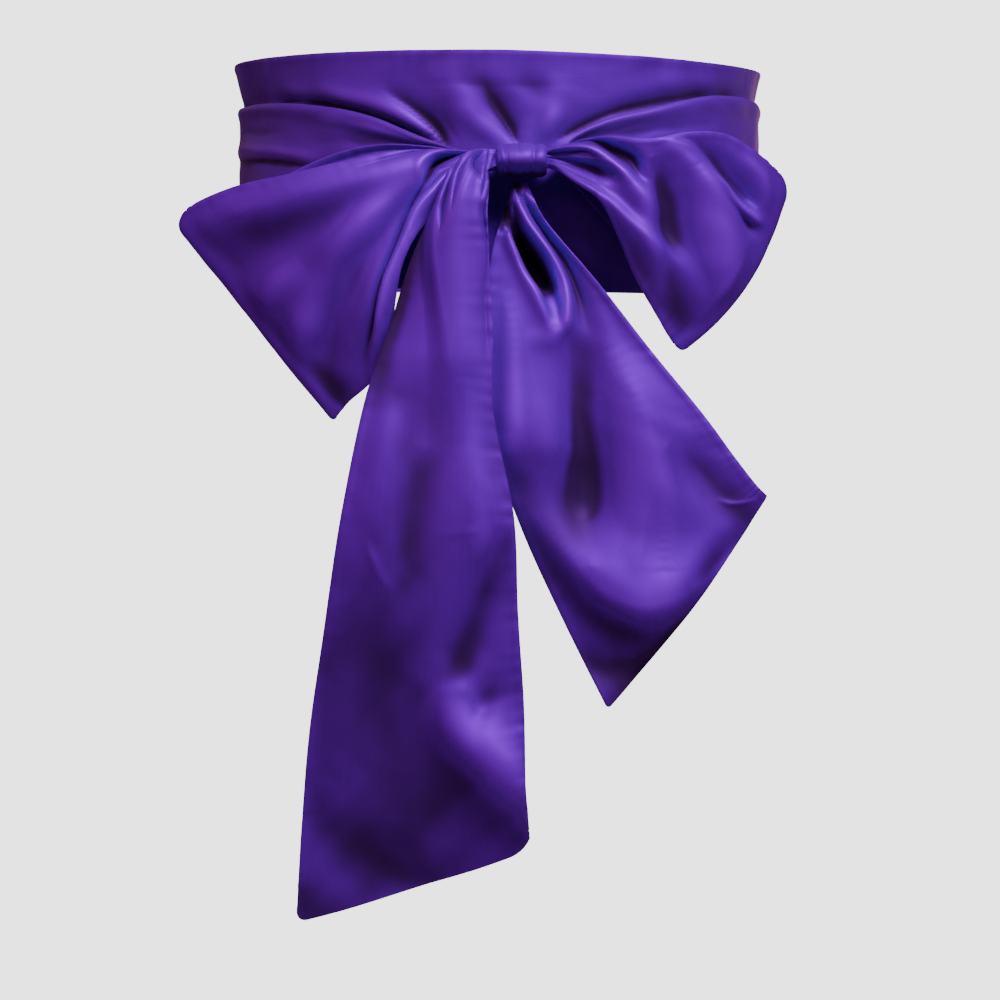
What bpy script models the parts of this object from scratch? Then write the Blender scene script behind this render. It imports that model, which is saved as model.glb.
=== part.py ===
"""A satin sash in the form it takes when it is worn.

One long self-lined strip is laid across the front of the waist, crossed at the back, brought forward
again over its first turn and tied in a bow. Each stretch that shows is its own solid, a thin wall of
cloth. The front faces -Y, +X is to the right as it is looked at, +Z is up, and the origin is the middle
of the waist at half the band's height. Tables and sizes are in millimetres, angles in degrees.
"""

from collections import namedtuple

import bpy
import numpy as np

MM = 0.001

# Cloth
WALL = 1.2
SEAM_GAP = 0.3
TURN_REST = WALL + SEAM_GAP

# Waist, to the middle of the first turn's wall
WAIST_HALF_WIDTH = 140.6
WAIST_HALF_DEPTH = 99.5
FLARE_STARTS = 43.0
FLARE_HEIGHT = 20.0
FLARE_LEFT = 3.8
FLARE_RIGHT = 1.8
TAPER_HEIGHT = 62.0
TAPER = 8.0

# Knot, the wrap that holds the bow
KNOT_LEFT = -1.5
KNOT_RIGHT = 25.5
KNOT_HALF_DEPTH = 15.0
KNOT_HALF_HEIGHT = 9.8
KNOT_CENTRE_Y = -118.5
KNOT_CENTRE_Z = 2.8

# How finely each piece is cut into flat faces: degrees round the waist, and near the knot, then counts
STATION_STEP = 6
FRONT_STEP = 3
FRONT_REACH = 30
BAND_ROWS = 7
TURN_ROWS = 7
STRIP_COLUMNS = 13
LOOP_SPANS = 29
LEFT_TAIL_SPANS = 21
RIGHT_TAIL_SPANS = 16
KNOT_STEP = 18

# A row of a strip: its upper or left edge, its lower or right edge, how far the middle stands out of the
# sheet (belly), and how far the middle runs ahead along the sheet (ahead).
Section = namedtuple("Section", "x y z low_x low_y low_z belly ahead")
# A row of the first turn's rim: angle from the front, top and bottom heights.
Rim = namedtuple("Rim", "angle top bottom")
# A row of a turn round the waist: angle from the front, top and bottom heights, and how far it stands
# out from the first turn.
Turn = namedtuple("Turn", "angle top bottom out")
# A ridge (depth over 0) or trough (under 0) along a strip: where it lies across the strip at its start and
# end, from 0 at the first edge to 1 at the other, the rows it runs between, its half width across the
# strip and its depth.
Fold = namedtuple("Fold", "start end first last half_width depth")

LEFT_LOOP = [
    Section(3, -119, 11.2, 3, -120, 0, 0, 0),
    Section(-11, -121, 9, -11, -122, -3, 0, 0),
    Section(-28, -124, 9, -21, -125, -15, 1, 0),
    Section(-52, -128, 8, -37, -128, -33, 2, 0),
    Section(-79, -128, 3, -50, -129, -58, 3, 0),
    Section(-106, -123, -4, -60, -128, -86, 4, 0),
    Section(-135, -114, -12, -67, -119, -110, 4, 0),
    Section(-155, -105, -20, -80, -110, -123, 2, 3),
    Section(-167, -98, -31, -88, -104, -132, 0, 4),
    Section(-154, -93, -23, -81, -98, -121, 0, -3),
    Section(-125, -94, -8, -67, -98, -95, 0, 0),
    Section(-92, -100, 7, -58, -103, -64, 0, 0),
    Section(-65, -106, 13, -45, -108, -37, 0, 0),
    Section(-39, -110, 12, -26, -111, -17, 0, 0),
    Section(-11, -112, 8, -11, -113, -2, 0, 0),
    Section(3, -113, 10, 3, -113, 0, 0, 0),
]
LEFT_LOOP_FOLDS = [
    Fold(0.28, 0.24, 1, 5, 0.10, 2.6),
    Fold(0.55, 0.50, 1, 4, 0.08, -2.4),
    Fold(0.90, 0.86, 2, 8, 0.07, 3.6),
    Fold(0.76, 0.72, 2, 7, 0.07, -3.4),
    Fold(0.30, 0.30, 10, 14, 0.12, 2.0),
]

RIGHT_LOOP = [
    Section(20, -119, 10.3, 20, -120, 1, 0, 0),
    Section(29, -122, 10, 29, -123, -1, 0, 0),
    Section(41, -128, 14, 44, -130, -11, 1, 0),
    Section(60, -133, 15, 60, -135, -23, 2, 0),
    Section(79, -134, 14, 75, -136, -38, 3, 0),
    Section(101, -128, 18, 88, -134, -56, 4, 2),
    Section(122, -118, 19, 97, -129, -77, 4, 5),
    Section(141, -106, 9, 102, -120, -89, 3, 9),
    Section(153, -95, -7, 101, -111, -96, 0, 11),
    Section(145, -87, -3, 95, -104, -88, 0, -9),
    Section(122, -91, 6, 80, -103, -71, 0, -3),
    Section(97, -98, 11, 66, -105, -46, 0, 0),
    Section(70, -104, 12, 55, -108, -21, 0, 0),
    Section(46, -110, 12, 41, -112, -9, 0, 0),
    Section(29, -113, 9, 29, -114, -1, 0, 0),
    Section(20, -113, 9, 20, -114, 1, 0, 0),
]
RIGHT_LOOP_FOLDS = [
    Fold(0.30, 0.34, 1, 5, 0.09, -3.2),
    Fold(0.68, 0.60, 1, 4, 0.08, -2.8),
    Fold(0.14, 0.50, 4, 8, 0.07, 3.4),
    Fold(0.02, 0.36, 5, 8, 0.07, -3.6),
    Fold(0.30, 0.30, 10, 14, 0.12, 2.0),
]

LEFT_TAIL = [
    Section(2, -124, 8, 3, -126, 1, 0, 0),
    Section(-8, -129, 9, -5, -132, -2, 0, 0),
    Section(-18, -137, 6, -5, -139, -8, 0, 0),
    Section(-27, -143, -4, -5, -143, -14, 0, 0),
    Section(-34, -146, -22, -6, -146, -24, 0, 0),
    Section(-46, -146, -51, -5, -145, -51, 1, 0),
    Section(-56, -144, -84, -3, -143, -87, 2, 0),
    Section(-68, -141, -123, -3, -141, -128, 3, 0),
    Section(-81, -138, -183, 7, -139, -183, 3, 0),
    Section(-90, -136, -240, 10, -138, -232, 3, 0),
    Section(-98, -135, -292, 13, -137, -279, 2, 0),
    Section(-103, -134, -345, 15, -136, -321, 1, 0),
    Section(-106, -133, -398, 16, -135, -359, 0, 0),
]
LEFT_TAIL_FOLDS = [
    Fold(0.10, 0.12, 2, 9, 0.16, -5.0),
    Fold(0.55, 0.62, 2, 9, 0.14, 3.5),
    Fold(0.92, 0.84, 3, 9, 0.07, -3.0),
    Fold(0.34, 0.45, 6, 14, 0.16, 4.5),
    Fold(0.72, 0.74, 7, 14, 0.14, -4.0),
]

RIGHT_TAIL = [
    Section(8, -117, -8, 15, -116, -8, 0, 0),
    Section(4, -123, -22, 21, -120, -23, 0, 0),
    Section(-3, -127, -41, 33, -122, -39, 0, 0),
    Section(-7, -129, -70, 55, -124, -65, 1, 0),
    Section(-9, -129, -107, 80, -125, -97, 2, 0),
    Section(-4, -129, -145, 107, -126, -130, 3, 0),
    Section(12, -128, -191, 124, -126, -153, 3, 0),
    Section(33, -127, -237, 135, -126, -167, 2, 0),
    Section(57, -126, -285, 141, -125, -173, 0, 0),
]
RIGHT_TAIL_FOLDS = [
    Fold(0.30, 0.30, 1, 4, 0.12, 3.0),
    Fold(0.62, 0.58, 0, 4, 0.10, -5.0),
    Fold(0.90, 0.88, 1, 6, 0.07, 3.4),
    Fold(0.42, 0.38, 4, 9, 0.12, -3.6),
    Fold(0.66, 0.72, 4, 9, 0.16, 3.4),
]

LEFT_TURN = [
    Turn(-204, -30, -40, 1.7),
    Turn(-200, -25, -50, 1.7),
    Turn(-190, -12.5, -58, 1.7),
    Turn(-180, 0, -60, 1.7),
    Turn(-170, 12.5, -60, 1.7),
    Turn(-160, 25, -60.5, 1.7),
    Turn(-150, 37.5, -61, 1.7),
    Turn(-135, 46, -61, 1.7),
    Turn(-110, 44, -61, 1.7),
    Turn(-87, 40.5, -61, 1.7),
    Turn(-59, 39.5, -60, 1.7),
    Turn(-47, 37.5, -57, 1.7),
    Turn(-28, 29, -44, 2.4),
    Turn(-15, 16, -21, 4.6),
    Turn(-8, 10, -7, 6.8),
    Turn(-3, 7.5, -2, 8.4),
    Turn(-1, 6.3, -1, 8.8),
    Turn(0.6, 6, -1, 9.0),
]
RIGHT_TURN = [
    Turn(9, 5.5, 0.3, 10.6),
    Turn(10.5, 5.8, 0, 10.4),
    Turn(12, 8.5, -1, 9.6),
    Turn(16, 18, -9, 7.2),
    Turn(22, 26, -24, 4.4),
    Turn(33, 33, -42, 2.4),
    Turn(50, 42, -56, 1.7),
    Turn(72, 43.5, -58, 1.7),
    Turn(90, 40.5, -57.5, 1.7),
    Turn(110, 42, -57.5, 1.7),
    Turn(135, 50, -46, 1.7),
    Turn(150, 56, -36.9, 1.7),
    Turn(160, 59, -24.4, 1.7),
    Turn(170, 60, -11.9, 1.7),
    Turn(180, 60, 0.6, 1.7),
    Turn(190, 58, 13.1, 1.7),
    Turn(200, 50, 25.6, 1.7),
    Turn(204, 40, 30.6, 1.7),
]
LEFT_TURN_FOLDS = [
    Fold(0.30, 0.26, 9, 15, 0.10, 1.8),
    Fold(0.56, 0.62, 11, 15, 0.10, -1.2),
]
RIGHT_TURN_FOLDS = [
    Fold(0.30, 0.34, 1, 7, 0.10, 1.7),
    Fold(0.66, 0.64, 1, 5, 0.10, 1.4),
]

BAND_RIM = [
    Rim(0, 64.0, -62.5),
    Rim(32, 62.0, -64.5),
    Rim(60, 60.5, -62.0),
    Rim(90, 60.5, -59.0),
    Rim(135, 62.0, -60.5),
    Rim(180, 63.0, -62.0),
    Rim(225, 63.5, -62.5),
    Rim(270, 64.0, -62.5),
    Rim(315, 64.5, -62.5),
    Rim(360, 64.0, -62.5),
]

# Folds of the first turn that run up from the knot, across the front: x and z at the lower end and at the
# upper end, half width and depth.
BandFold = namedtuple("BandFold", "x z upper_x upper_z half_width depth")
BAND_FOLDS = [
    BandFold(-28, 16, -54, 42, 6.0, -2.4),
    BandFold(-12, 14, -30, 50, 8.0, 1.7),
    BandFold(12, 15, -4, 46, 7.0, -2.4),
    BandFold(20, 16, 22, 48, 8.0, 1.4),
]


# The wrap's size along its length, from its left end (0) to its right end (1).
Girth = namedtuple("Girth", "place size")
KNOT = [
    Girth(0.0, 0.94),
    Girth(0.15, 0.98),
    Girth(0.45, 1.0),
    Girth(0.70, 0.96),
    Girth(0.78, 0.89),
    Girth(0.88, 0.95),
    Girth(1.0, 0.88),
]


def clear_scene():
    for thing in list(bpy.data.objects):
        bpy.data.objects.remove(thing, do_unlink=True)


def satin(name, colour):
    """A Principled material of the given linear colour."""
    material = bpy.data.materials.new(name)
    material.use_nodes = True
    shader = material.node_tree.nodes["Principled BSDF"]
    shader.inputs["Base Color"].default_value = (*colour, 1.0)
    shader.inputs["Roughness"].default_value = 0.42
    shader.inputs["Metallic"].default_value = 0.0
    return material


def smoothstep(value):
    value = np.clip(value, 0.0, 1.0)
    return value * value * (3.0 - 2.0 * value)


def through(places, rows, at):
    """A smooth curve through the rows, one for each place, read at the wanted places.

    Each span is a cubic whose end slopes are those of the rows on both sides of it.
    """
    places = np.asarray(places, float)
    rows = np.asarray(rows, float)
    slopes = np.gradient(rows, places, axis=0)
    span = np.clip(np.searchsorted(places, at, side="right") - 1, 0, len(places) - 2)
    length = (places[span + 1] - places[span])[:, None]
    t = (np.asarray(at) - places[span])[:, None] / length
    start = rows[span] * (1 + 2 * t) * (1 - t) ** 2 + slopes[span] * length * t * (1 - t) ** 2
    end = rows[span + 1] * (3 - 2 * t) * t**2 + slopes[span + 1] * length * t**2 * (t - 1)
    return start + end


def fold_height(folds, row, across):
    """The folds' heights on a grid: a bell across each fold, rising and fading along it."""
    height = np.zeros(np.broadcast(row, across).shape)
    for fold in folds:
        along = (row - fold.first) / (fold.last - fold.first)
        centre = fold.start + (fold.end - fold.start) * np.clip(along, 0.0, 1.0)
        fade = smoothstep(along / 0.3) * smoothstep((1.0 - along) / 0.4)
        height += fold.depth * fade * np.exp(-(((across - centre) / fold.half_width) ** 2))
    return height


def unit(vectors):
    return vectors / np.linalg.norm(vectors, axis=-1, keepdims=True)


def strip_points(sections, folds, spans, outward, corners=(0.0, 0.0)):
    """A strip as a grid of points, with the given spans along it and STRIP_COLUMNS across it.

    A point is on the line between the section's edges, moved by belly and by the folds along the sheet's
    own normal, and by ahead along the strip. Corners are the radii of the free end's two corners, which
    pull its last row back near each edge by a quarter circle.
    """
    across = np.linspace(0.0, 1.0, STRIP_COLUMNS)[None, :]
    last = len(sections) - 1
    row = np.linspace(0.0, last, spans + 1)[:, None] + np.zeros_like(across)
    end_width = np.linalg.norm(np.subtract(sections[-1][0:3], sections[-1][3:6]))
    end_length = np.linalg.norm(np.subtract(sections[-1][0:3], sections[-2][0:3]))
    for radius, distance in zip(corners, (across * end_width, (1.0 - across) * end_width)):
        if radius:
            inside = np.clip(1.0 - distance / radius, 0.0, 1.0)
            pull = radius / end_length * (1.0 - np.sqrt(1.0 - inside**2))
            row = row - pull * smoothstep(row - last + 1.0)
    places = np.arange(len(sections))
    table = through(places, sections, row.ravel()).reshape(*row.shape, len(Section._fields))
    upper, lower = table[..., 0:3], table[..., 3:6]
    belly, ahead = table[..., 6:7], table[..., 7:8]
    flat = upper + (lower - upper) * across[..., None]
    along = unit(np.gradient(flat, axis=0))
    normal = unit(np.cross(along, lower - upper)) * outward
    arch = (4 * across * (1 - across))[..., None]
    height = fold_height(folds, row, across)[..., None]
    return flat + normal * (belly * arch + height) + along * ahead * arch


def waist_points(angle, height, out):
    """Points round the waist: on the ellipse, moved out along its normal.

    At the sides the cloth flares in a straight line above FLARE_STARTS, and below the middle it tapers in
    by the square of the drop.
    """
    turn = np.radians(angle)
    side = np.sin(turn)
    flare = np.where(side < 0, FLARE_LEFT, FLARE_RIGHT)
    out = out + flare * side**2 * np.maximum(height - FLARE_STARTS, 0.0) / FLARE_HEIGHT
    out = out - TAPER * side**2 * (np.maximum(-height, 0.0) / TAPER_HEIGHT) ** 2
    normal = unit(np.stack([side / WAIST_HALF_WIDTH, -np.cos(turn) / WAIST_HALF_DEPTH], -1))
    x = WAIST_HALF_WIDTH * side + out * normal[..., 0]
    y = -WAIST_HALF_DEPTH * np.cos(turn) + out * normal[..., 1]
    return np.stack([x, y, height], -1)


def stations(first, last):
    """The angles round the waist where every layer is cut, so that their flat faces stay parallel."""
    coarse = np.arange(-360, 361, STATION_STEP)
    fine = np.arange(-FRONT_REACH, FRONT_REACH + 1, FRONT_STEP)
    every = np.unique(np.concatenate([coarse, fine]))
    return every[(every >= first) & (every <= last)]


def band_points():
    """The first turn: a closed ring between its rims, with the front folds that run up from the knot."""
    angle = stations(-180, 180 - STATION_STEP)
    rim = through([row.angle for row in BAND_RIM], [row[1:] for row in BAND_RIM], angle % 360)
    share = np.linspace(0.0, 1.0, BAND_ROWS)[None, :]
    height = rim[:, 0:1] + (rim[:, 1:2] - rim[:, 0:1]) * share
    angle = angle[:, None] + np.zeros_like(height)
    out = np.zeros_like(height)
    x = WAIST_HALF_WIDTH * np.sin(np.radians(angle))
    front = np.cos(np.radians(angle)) > 0
    for fold in BAND_FOLDS:
        run = np.array([fold.upper_x - fold.x, fold.upper_z - fold.z])
        length = np.linalg.norm(run)
        along = ((x - fold.x) * run[0] + (height - fold.z) * run[1]) / length**2
        off = ((x - fold.x) * run[1] - (height - fold.z) * run[0]) / length
        fade = smoothstep((along + 0.2) / 0.4) * smoothstep((1.2 - along) / 0.6)
        out += front * fold.depth * fade * np.exp(-((off / fold.half_width) ** 2))
    return waist_points(angle, height, out)


def turn_points(rows, folds):
    """A second turn: the rows' heights and stand-off, read at the band's own stations."""
    places = np.array([row.angle for row in rows], float)
    angle = np.unique(np.concatenate([stations(places[0], places[-1]), places[[0, -1]]]))
    table = through(places, [row[1:] for row in rows], angle)
    index = np.interp(angle, places, np.arange(len(places)))[:, None]
    across = np.linspace(0.0, 1.0, TURN_ROWS)[None, :]
    height = table[:, 0:1] + (table[:, 1:2] - table[:, 0:1]) * across
    out = table[:, 2:3] + np.maximum(fold_height(folds, index, across), TURN_REST - table[:, 2:3])
    return waist_points(angle[:, None] + np.zeros_like(height), height, out)


def knot_points():
    """The wrap: a tube along X with a soft belly, a crease and a small roll at its right end."""
    place = np.array([row.place for row in KNOT])
    size = np.array([row.size for row in KNOT])[None, :]
    turn = np.radians(np.arange(0, 360, KNOT_STEP))[:, None]
    x = KNOT_LEFT + (KNOT_RIGHT - KNOT_LEFT) * place[None, :] + np.zeros_like(turn)
    y = KNOT_CENTRE_Y - KNOT_HALF_DEPTH * size * np.cos(turn)
    z = KNOT_CENTRE_Z - KNOT_HALF_HEIGHT * size * np.sin(turn)
    return np.stack([x, y, z], -1)


def cloth(name, points, material, ring=False):
    """A wall of cloth whose middle is the grid of points; a ring joins its last row to its first."""
    rows, columns = points.shape[:2]
    index = np.arange(rows * columns).reshape(rows, columns)
    if ring:
        index = np.vstack([index, index[:1]])
    corners = [index[:-1, :-1], index[1:, :-1], index[1:, 1:], index[:-1, 1:]]
    faces = np.stack([corner.ravel() for corner in corners], -1)
    mesh = bpy.data.meshes.new(name)
    mesh.from_pydata((points.reshape(-1, 3) * MM).tolist(), [], faces.tolist())
    mesh.materials.append(material)
    mesh.shade_smooth()
    piece = bpy.data.objects.new(name, mesh)
    bpy.context.scene.collection.objects.link(piece)
    wall = piece.modifiers.new("Wall", "SOLIDIFY")
    wall.thickness = WALL * MM
    wall.offset = 0.0
    return piece


def main():
    clear_scene()
    purple = satin("satin_purple", (0.085, 0.028, 0.44))
    shaded = satin("satin_purple_band", (0.075, 0.025, 0.36))
    cloth("band_first_turn", band_points(), shaded, ring=True)
    cloth("band_second_turn_left", turn_points(LEFT_TURN, LEFT_TURN_FOLDS), purple)
    cloth("band_second_turn_right", turn_points(RIGHT_TURN, RIGHT_TURN_FOLDS), purple)
    cloth("bow_loop_left", strip_points(LEFT_LOOP, LEFT_LOOP_FOLDS, LOOP_SPANS, 1), purple)
    cloth("bow_loop_right", strip_points(RIGHT_LOOP, RIGHT_LOOP_FOLDS, LOOP_SPANS, -1), purple)
    cloth("tail_left", strip_points(LEFT_TAIL, LEFT_TAIL_FOLDS, LEFT_TAIL_SPANS, 1, (0, 13)), purple)
    cloth("tail_right", strip_points(RIGHT_TAIL, RIGHT_TAIL_FOLDS, RIGHT_TAIL_SPANS, 1), purple)
    cloth("knot_wrap", knot_points(), purple, ring=True)


main()
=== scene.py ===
"""A purple satin sash tied in a large bow at the front of the waist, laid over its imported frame.

Each stretch of the sash is a closed shell of satin: a grid of points through the middle of the cloth, given
by its place along the strip and across it, with folds raised and sunk along the cloth's own normal. The
front faces -Y, +X is to the right as it is looked at, +Z is up. Tables are in millimetres and degrees.
"""

from collections import namedtuple

import bpy
import numpy as np
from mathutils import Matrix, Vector


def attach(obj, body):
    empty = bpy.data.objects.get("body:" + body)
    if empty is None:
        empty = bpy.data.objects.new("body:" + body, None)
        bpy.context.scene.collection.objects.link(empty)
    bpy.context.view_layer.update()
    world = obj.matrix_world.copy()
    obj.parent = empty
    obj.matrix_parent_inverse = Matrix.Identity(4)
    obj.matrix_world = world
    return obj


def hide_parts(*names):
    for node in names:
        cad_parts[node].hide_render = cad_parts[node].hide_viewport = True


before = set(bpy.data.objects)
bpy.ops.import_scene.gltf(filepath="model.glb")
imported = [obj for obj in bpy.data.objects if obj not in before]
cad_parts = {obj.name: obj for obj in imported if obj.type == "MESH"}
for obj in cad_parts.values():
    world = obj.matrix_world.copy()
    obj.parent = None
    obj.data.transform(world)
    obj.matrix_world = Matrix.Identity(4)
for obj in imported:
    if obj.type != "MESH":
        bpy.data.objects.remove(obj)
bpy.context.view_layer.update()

bl_info = {
    "name": "Satin Sash With Front Bow",
    "version": (1, 0, 0),
    "blender": (4, 5, 0),
    "location": "View3D > Sidebar > Sash",
    "description": "Lays a satin sash with a large front bow over its packed frame, and lights it",
    "category": "Object",
}

MM = 0.001
STRIP_WIDTH = 125.0
BODY = "root"
SOFT, CRISP, POCKET, STEP = "soft", "crisp", "pocket", "step"

# A fold in the front view: its kind, how far its crest leans over its left-hand side as a share of its
# height, and its nodes from the knot outwards (x, z, width on its right, width on its left, height).
Crease = namedtuple("Crease", "kind lean nodes")
# A fold in the strip's own row and share across: nodes (row, across, half width in shares, height).
Fold = namedtuple("Fold", "kind nodes")


def crease(kind, *nodes, lean=0):
    """A fold in the front view. A node of four numbers has one width for both sides."""
    full = [node if len(node) == 5 else (*node[:3], *node[2:]) for node in nodes]
    return Crease(kind, lean, np.array(full, float))


# The bow's strips, a row each: the upper or left edge (x, y, z), the lower or right edge (x, y, z), how far
# the middle stands out of the sheet (belly), and how far it runs ahead along the sheet (ahead).
LEFT_LOOP = [
    (3, -119, 8.8, 3, -120, 0, 0, 0), (-11, -121, 9, -11, -122, -3, 0, 0),
    (-28, -124, 9, -21, -125, -15, 1, 0), (-52, -128, 8, -41, -128, -33, 2, 0),
    (-79, -128, 3, -51, -129, -54, 3, 0), (-106, -123, -3, -56, -128, -84, 4, 0),
    (-137, -114, -9, -64, -120, -109, 4, 0), (-161, -105, -18, -80, -110, -124, 2, 1),
    (-173, -98, -27, -88, -104, -133, 0, 1), (-158, -93, -22, -82, -98, -122, 0, -1),
    (-125, -94, -8, -71, -98, -95, 0, 0), (-92, -100, 7, -63, -103, -64, 0, 0),
    (-65, -106, 13, -49, -108, -37, 0, 0), (-39, -110, 12, -26, -111, -17, 0, 0),
    (-11, -112, 8, -11, -113, -2, 0, 0), (3, -113, 10, 3, -113, 0, 0, 0),
]
RIGHT_LOOP = [
    (20, -119, 8.6, 20, -120, 1, 0, 0), (29, -122, 9.5, 29, -123, -1, 0, 0),
    (41, -128, 14, 42, -129, -10, 1, 0), (60, -133, 15, 53, -131, -19, 2, 0),
    (79, -134, 14, 62, -128, -37, 3, 0), (101, -128, 18, 71, -124, -58, 4, 2),
    (121, -118, 17, 82, -120, -77, 4, 5), (141, -106, 5, 90, -114, -90, 3, 11),
    (155, -95, -8, 97, -108, -97, 0, 12), (145, -87, -5, 93, -103, -88, 0, -10),
    (122, -91, 6, 84, -103, -70, 0, -3), (97, -98, 11, 73, -105, -46, 0, 0),
    (70, -104, 12, 60, -108, -21, 0, 0), (46, -110, 12, 44, -112, -8, 0, 0),
    (29, -113, 9, 29, -114, -1, 0, 0), (20, -113, 9, 20, -114, 1, 0, 0),
]
LEFT_TAIL = [
    (2, -124, 8, 3, -126, 1, 0, 0), (-8, -129, 9, -5, -132, -2, 0, 0), (-18, -137, 6, -5, -139, -8, 0, 0),
    (-27, -143, -4, -5, -143, -14, 0, 0), (-34, -146, -22, -6, -146, -24, 0, 0),
    (-46, -146, -51, -5, -145, -51, 1, 0), (-57, -143, -84, -3, -144, -87, 2, 0),
    (-70, -143, -123, -3, -146, -128, 3, 0), (-82, -141, -183, 8, -146, -183, 3, 0),
    (-91, -137, -240, 10, -144, -232, 3, 0), (-99, -129, -292, 13, -141, -279, 2, 0),
    (-104, -118, -345, 15, -134, -321, 1, 1), (-107, -111, -398, 16, -122, -359, 0, 2),
]
RIGHT_TAIL = [
    (8, -117, -8, 15, -116, -8, 0, 0), (4, -123, -22, 21, -120, -23, 0, 0),
    (-3, -127, -41, 33, -122, -39, 0, 0), (-7, -129, -70, 55, -124, -65, 1, 0),
    (-9, -129, -107, 80, -125, -97, 2, 0), (-4, -129, -145, 107, -126, -130, 3, 1),
    (12, -128, -191, 124, -126, -153, 3, 2), (33, -127, -237, 135, -126, -167, 2, 3),
    (57, -126, -285, 141, -125, -173, 0, 4),
]
# The second turn: angle from the front, heights of both edges, stand-off from the waist.
LEFT_TURN = [
    (-204, -30, -40, 1.7), (-200, -25, -47, 1.7), (-190, -12.5, -52, 1.7), (-180, 0, -53, 1.7),
    (-170, 12.5, -53, 1.7), (-160, 25, -53.5, 1.7), (-150, 37.5, -55, 1.7), (-135, 46, -57.5, 1.7),
    (-110, 44, -61, 1.7), (-87, 40.5, -61, 1.7), (-59, 39.5, -60, 1.7), (-47, 37.5, -57, 1.7),
    (-28, 29, -44, 2.4), (-15, 16, -21, 4.6), (-8, 10, -7, 6.8), (-3, 7.5, -2, 8.4), (-1, 6.3, -1, 8.8),
    (0.6, 6, -1, 9),
]
RIGHT_TURN = [
    (9, 5.5, 0.3, 10.6), (10.5, 5.8, 0, 10.4), (12, 8.5, -1, 9.6), (16, 18, -9, 7.2), (22, 26, -24, 4.4),
    (33, 33, -42, 2.4), (50, 42, -56, 1.7), (72, 43.5, -58, 1.7), (90, 40.5, -57.5, 1.7),
    (110, 42, -57.5, 1.7), (135, 50, -46, 1.7), (150, 56, -36.9, 1.7), (160, 59, -24.4, 1.7),
    (170, 60, -11.9, 1.7), (180, 60, 0.6, 1.7), (190, 58, 13.1, 1.7), (200, 50, 25.6, 1.7),
    (204, 40, 30.6, 1.7),
]
# The first turn's rims: angle from the front, heights of both.
BAND_RIM = [
    (0, 64, -62.5), (32, 62, -64.5), (60, 60.5, -62), (90, 60.5, -59), (135, 62, -57.5), (180, 63, -54.5),
    (225, 63.5, -57.5), (270, 64, -62.5), (315, 64.5, -62.5), (360, 64, -62.5),
]

# The folds of the front view.
LEFT_LOOP_CREASES = [
    crease(SOFT, (-15, 5, 3, 0), (-36, 2, 7, 3), (-62, -5, 12, 10, 5), (-99, -13, 14, 11, 6),
        (-136, -23, 13, 11, 5), (-159, -31, 9, 1)),
    crease(SOFT, (-13, 3, 1.6, 3, 0), (-25, -3, 1.8, 5, 3), (-35, -13, 2, 7, 5), (-44, -24, 2.2, 9, 6),
        (-49, -37, 2.2, 10, 6.5), (-54, -48, 2.2, 9, 6.5), (-59, -61, 2.2, 8, 6), (-62, -75, 2.2, 7, 5),
        (-64, -89, 2.4, 6, 3.4), (-67, -102, 3, 5, 1.4), (-69, -111, 3, 4, 0)),
    crease(CRISP, (-13, 8, 1.2, 0), (-20, 7, 1.8, -6), (-28, 4, 3, 2.6, -11), (-34, 0, 3, 2.6, -11),
        (-37, -5, 2.6, 2.2, -5), (-40, -9, 2.2, 0)),
    crease(SOFT, (-15, 11, 1.6, 0), (-28, 9, 2, 2.4, 1.6), (-37, 6, 2.4, 1.8), (-42, 0, 2.6, 2.2, 1.4),
        (-41, -7, 2.4, 2.2, 0.8), (-39, -14, 2.4, 0)),
    crease(CRISP, (-35, -2, 1, 0), (-39, -9, 1.6, 1.2, -3), (-47, -24, 2, 1.3, -4),
        (-55, -44, 2.2, 1.3, -4), (-63, -64, 2.4, 1.3, -4), (-67, -85, 2.6, 1.4, -3),
        (-70, -97, 3, 2, -1.4), (-72, -109, 3, 0)),
    crease(SOFT, (-31, -3, 4, 0), (-49, -13, 7, 8, 2.5), (-65, -25, 9, 10, 4.6), (-81, -41, 10, 3),
        (-94, -65, 9, 1.5), (-104, -86, 10, 3), (-110, -107, 8, 0)),
    crease(SOFT, (-44, -13, 3, 0), (-60, -33, 6, 5, -2.6), (-75, -56, 10, 7, -3.8), (-86, -81, 12, 8, -4),
        (-91, -104, 12, 8, -2.6), (-90, -125, 8, 7, 0)),
    crease(SOFT, (-86, -31, 10, 0), (-115, -42, 13, -2), (-137, -48, 11, -1.6), (-154, -48, 8, 0)),
    crease(SOFT, (-104, -50, 8, 0), (-121, -66, 10, 3), (-126, -80, 9, 1.4), (-124, -91, 8, 0)),
    crease(SOFT, (-166, -24, 3, 0), (-169, -42, 7, -3), (-148, -70, 7, 8, -4), (-122, -101, 7, 8, -4),
        (-97, -130, 7, 8, -3), (-91, -136, 6, -1)),
    crease(CRISP, (-12, 7, 1, 0), (-23, 10, 1.2, -2), (-41, 8, 1.6, -2), (-60, 3, 2, -1), (-78, -3, 2, 0)),
    crease(CRISP, (-13, 4, 1, 0), (-26, -5, 1.3, -2.6), (-33, -18, 1.6, -2), (-41, -35, 2, 0)),
    crease(CRISP, (-17, 3, 0.9, 0), (-27, -10, 1.1, -1.8), (-32, -20, 1.4, 0)),
]
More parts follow.
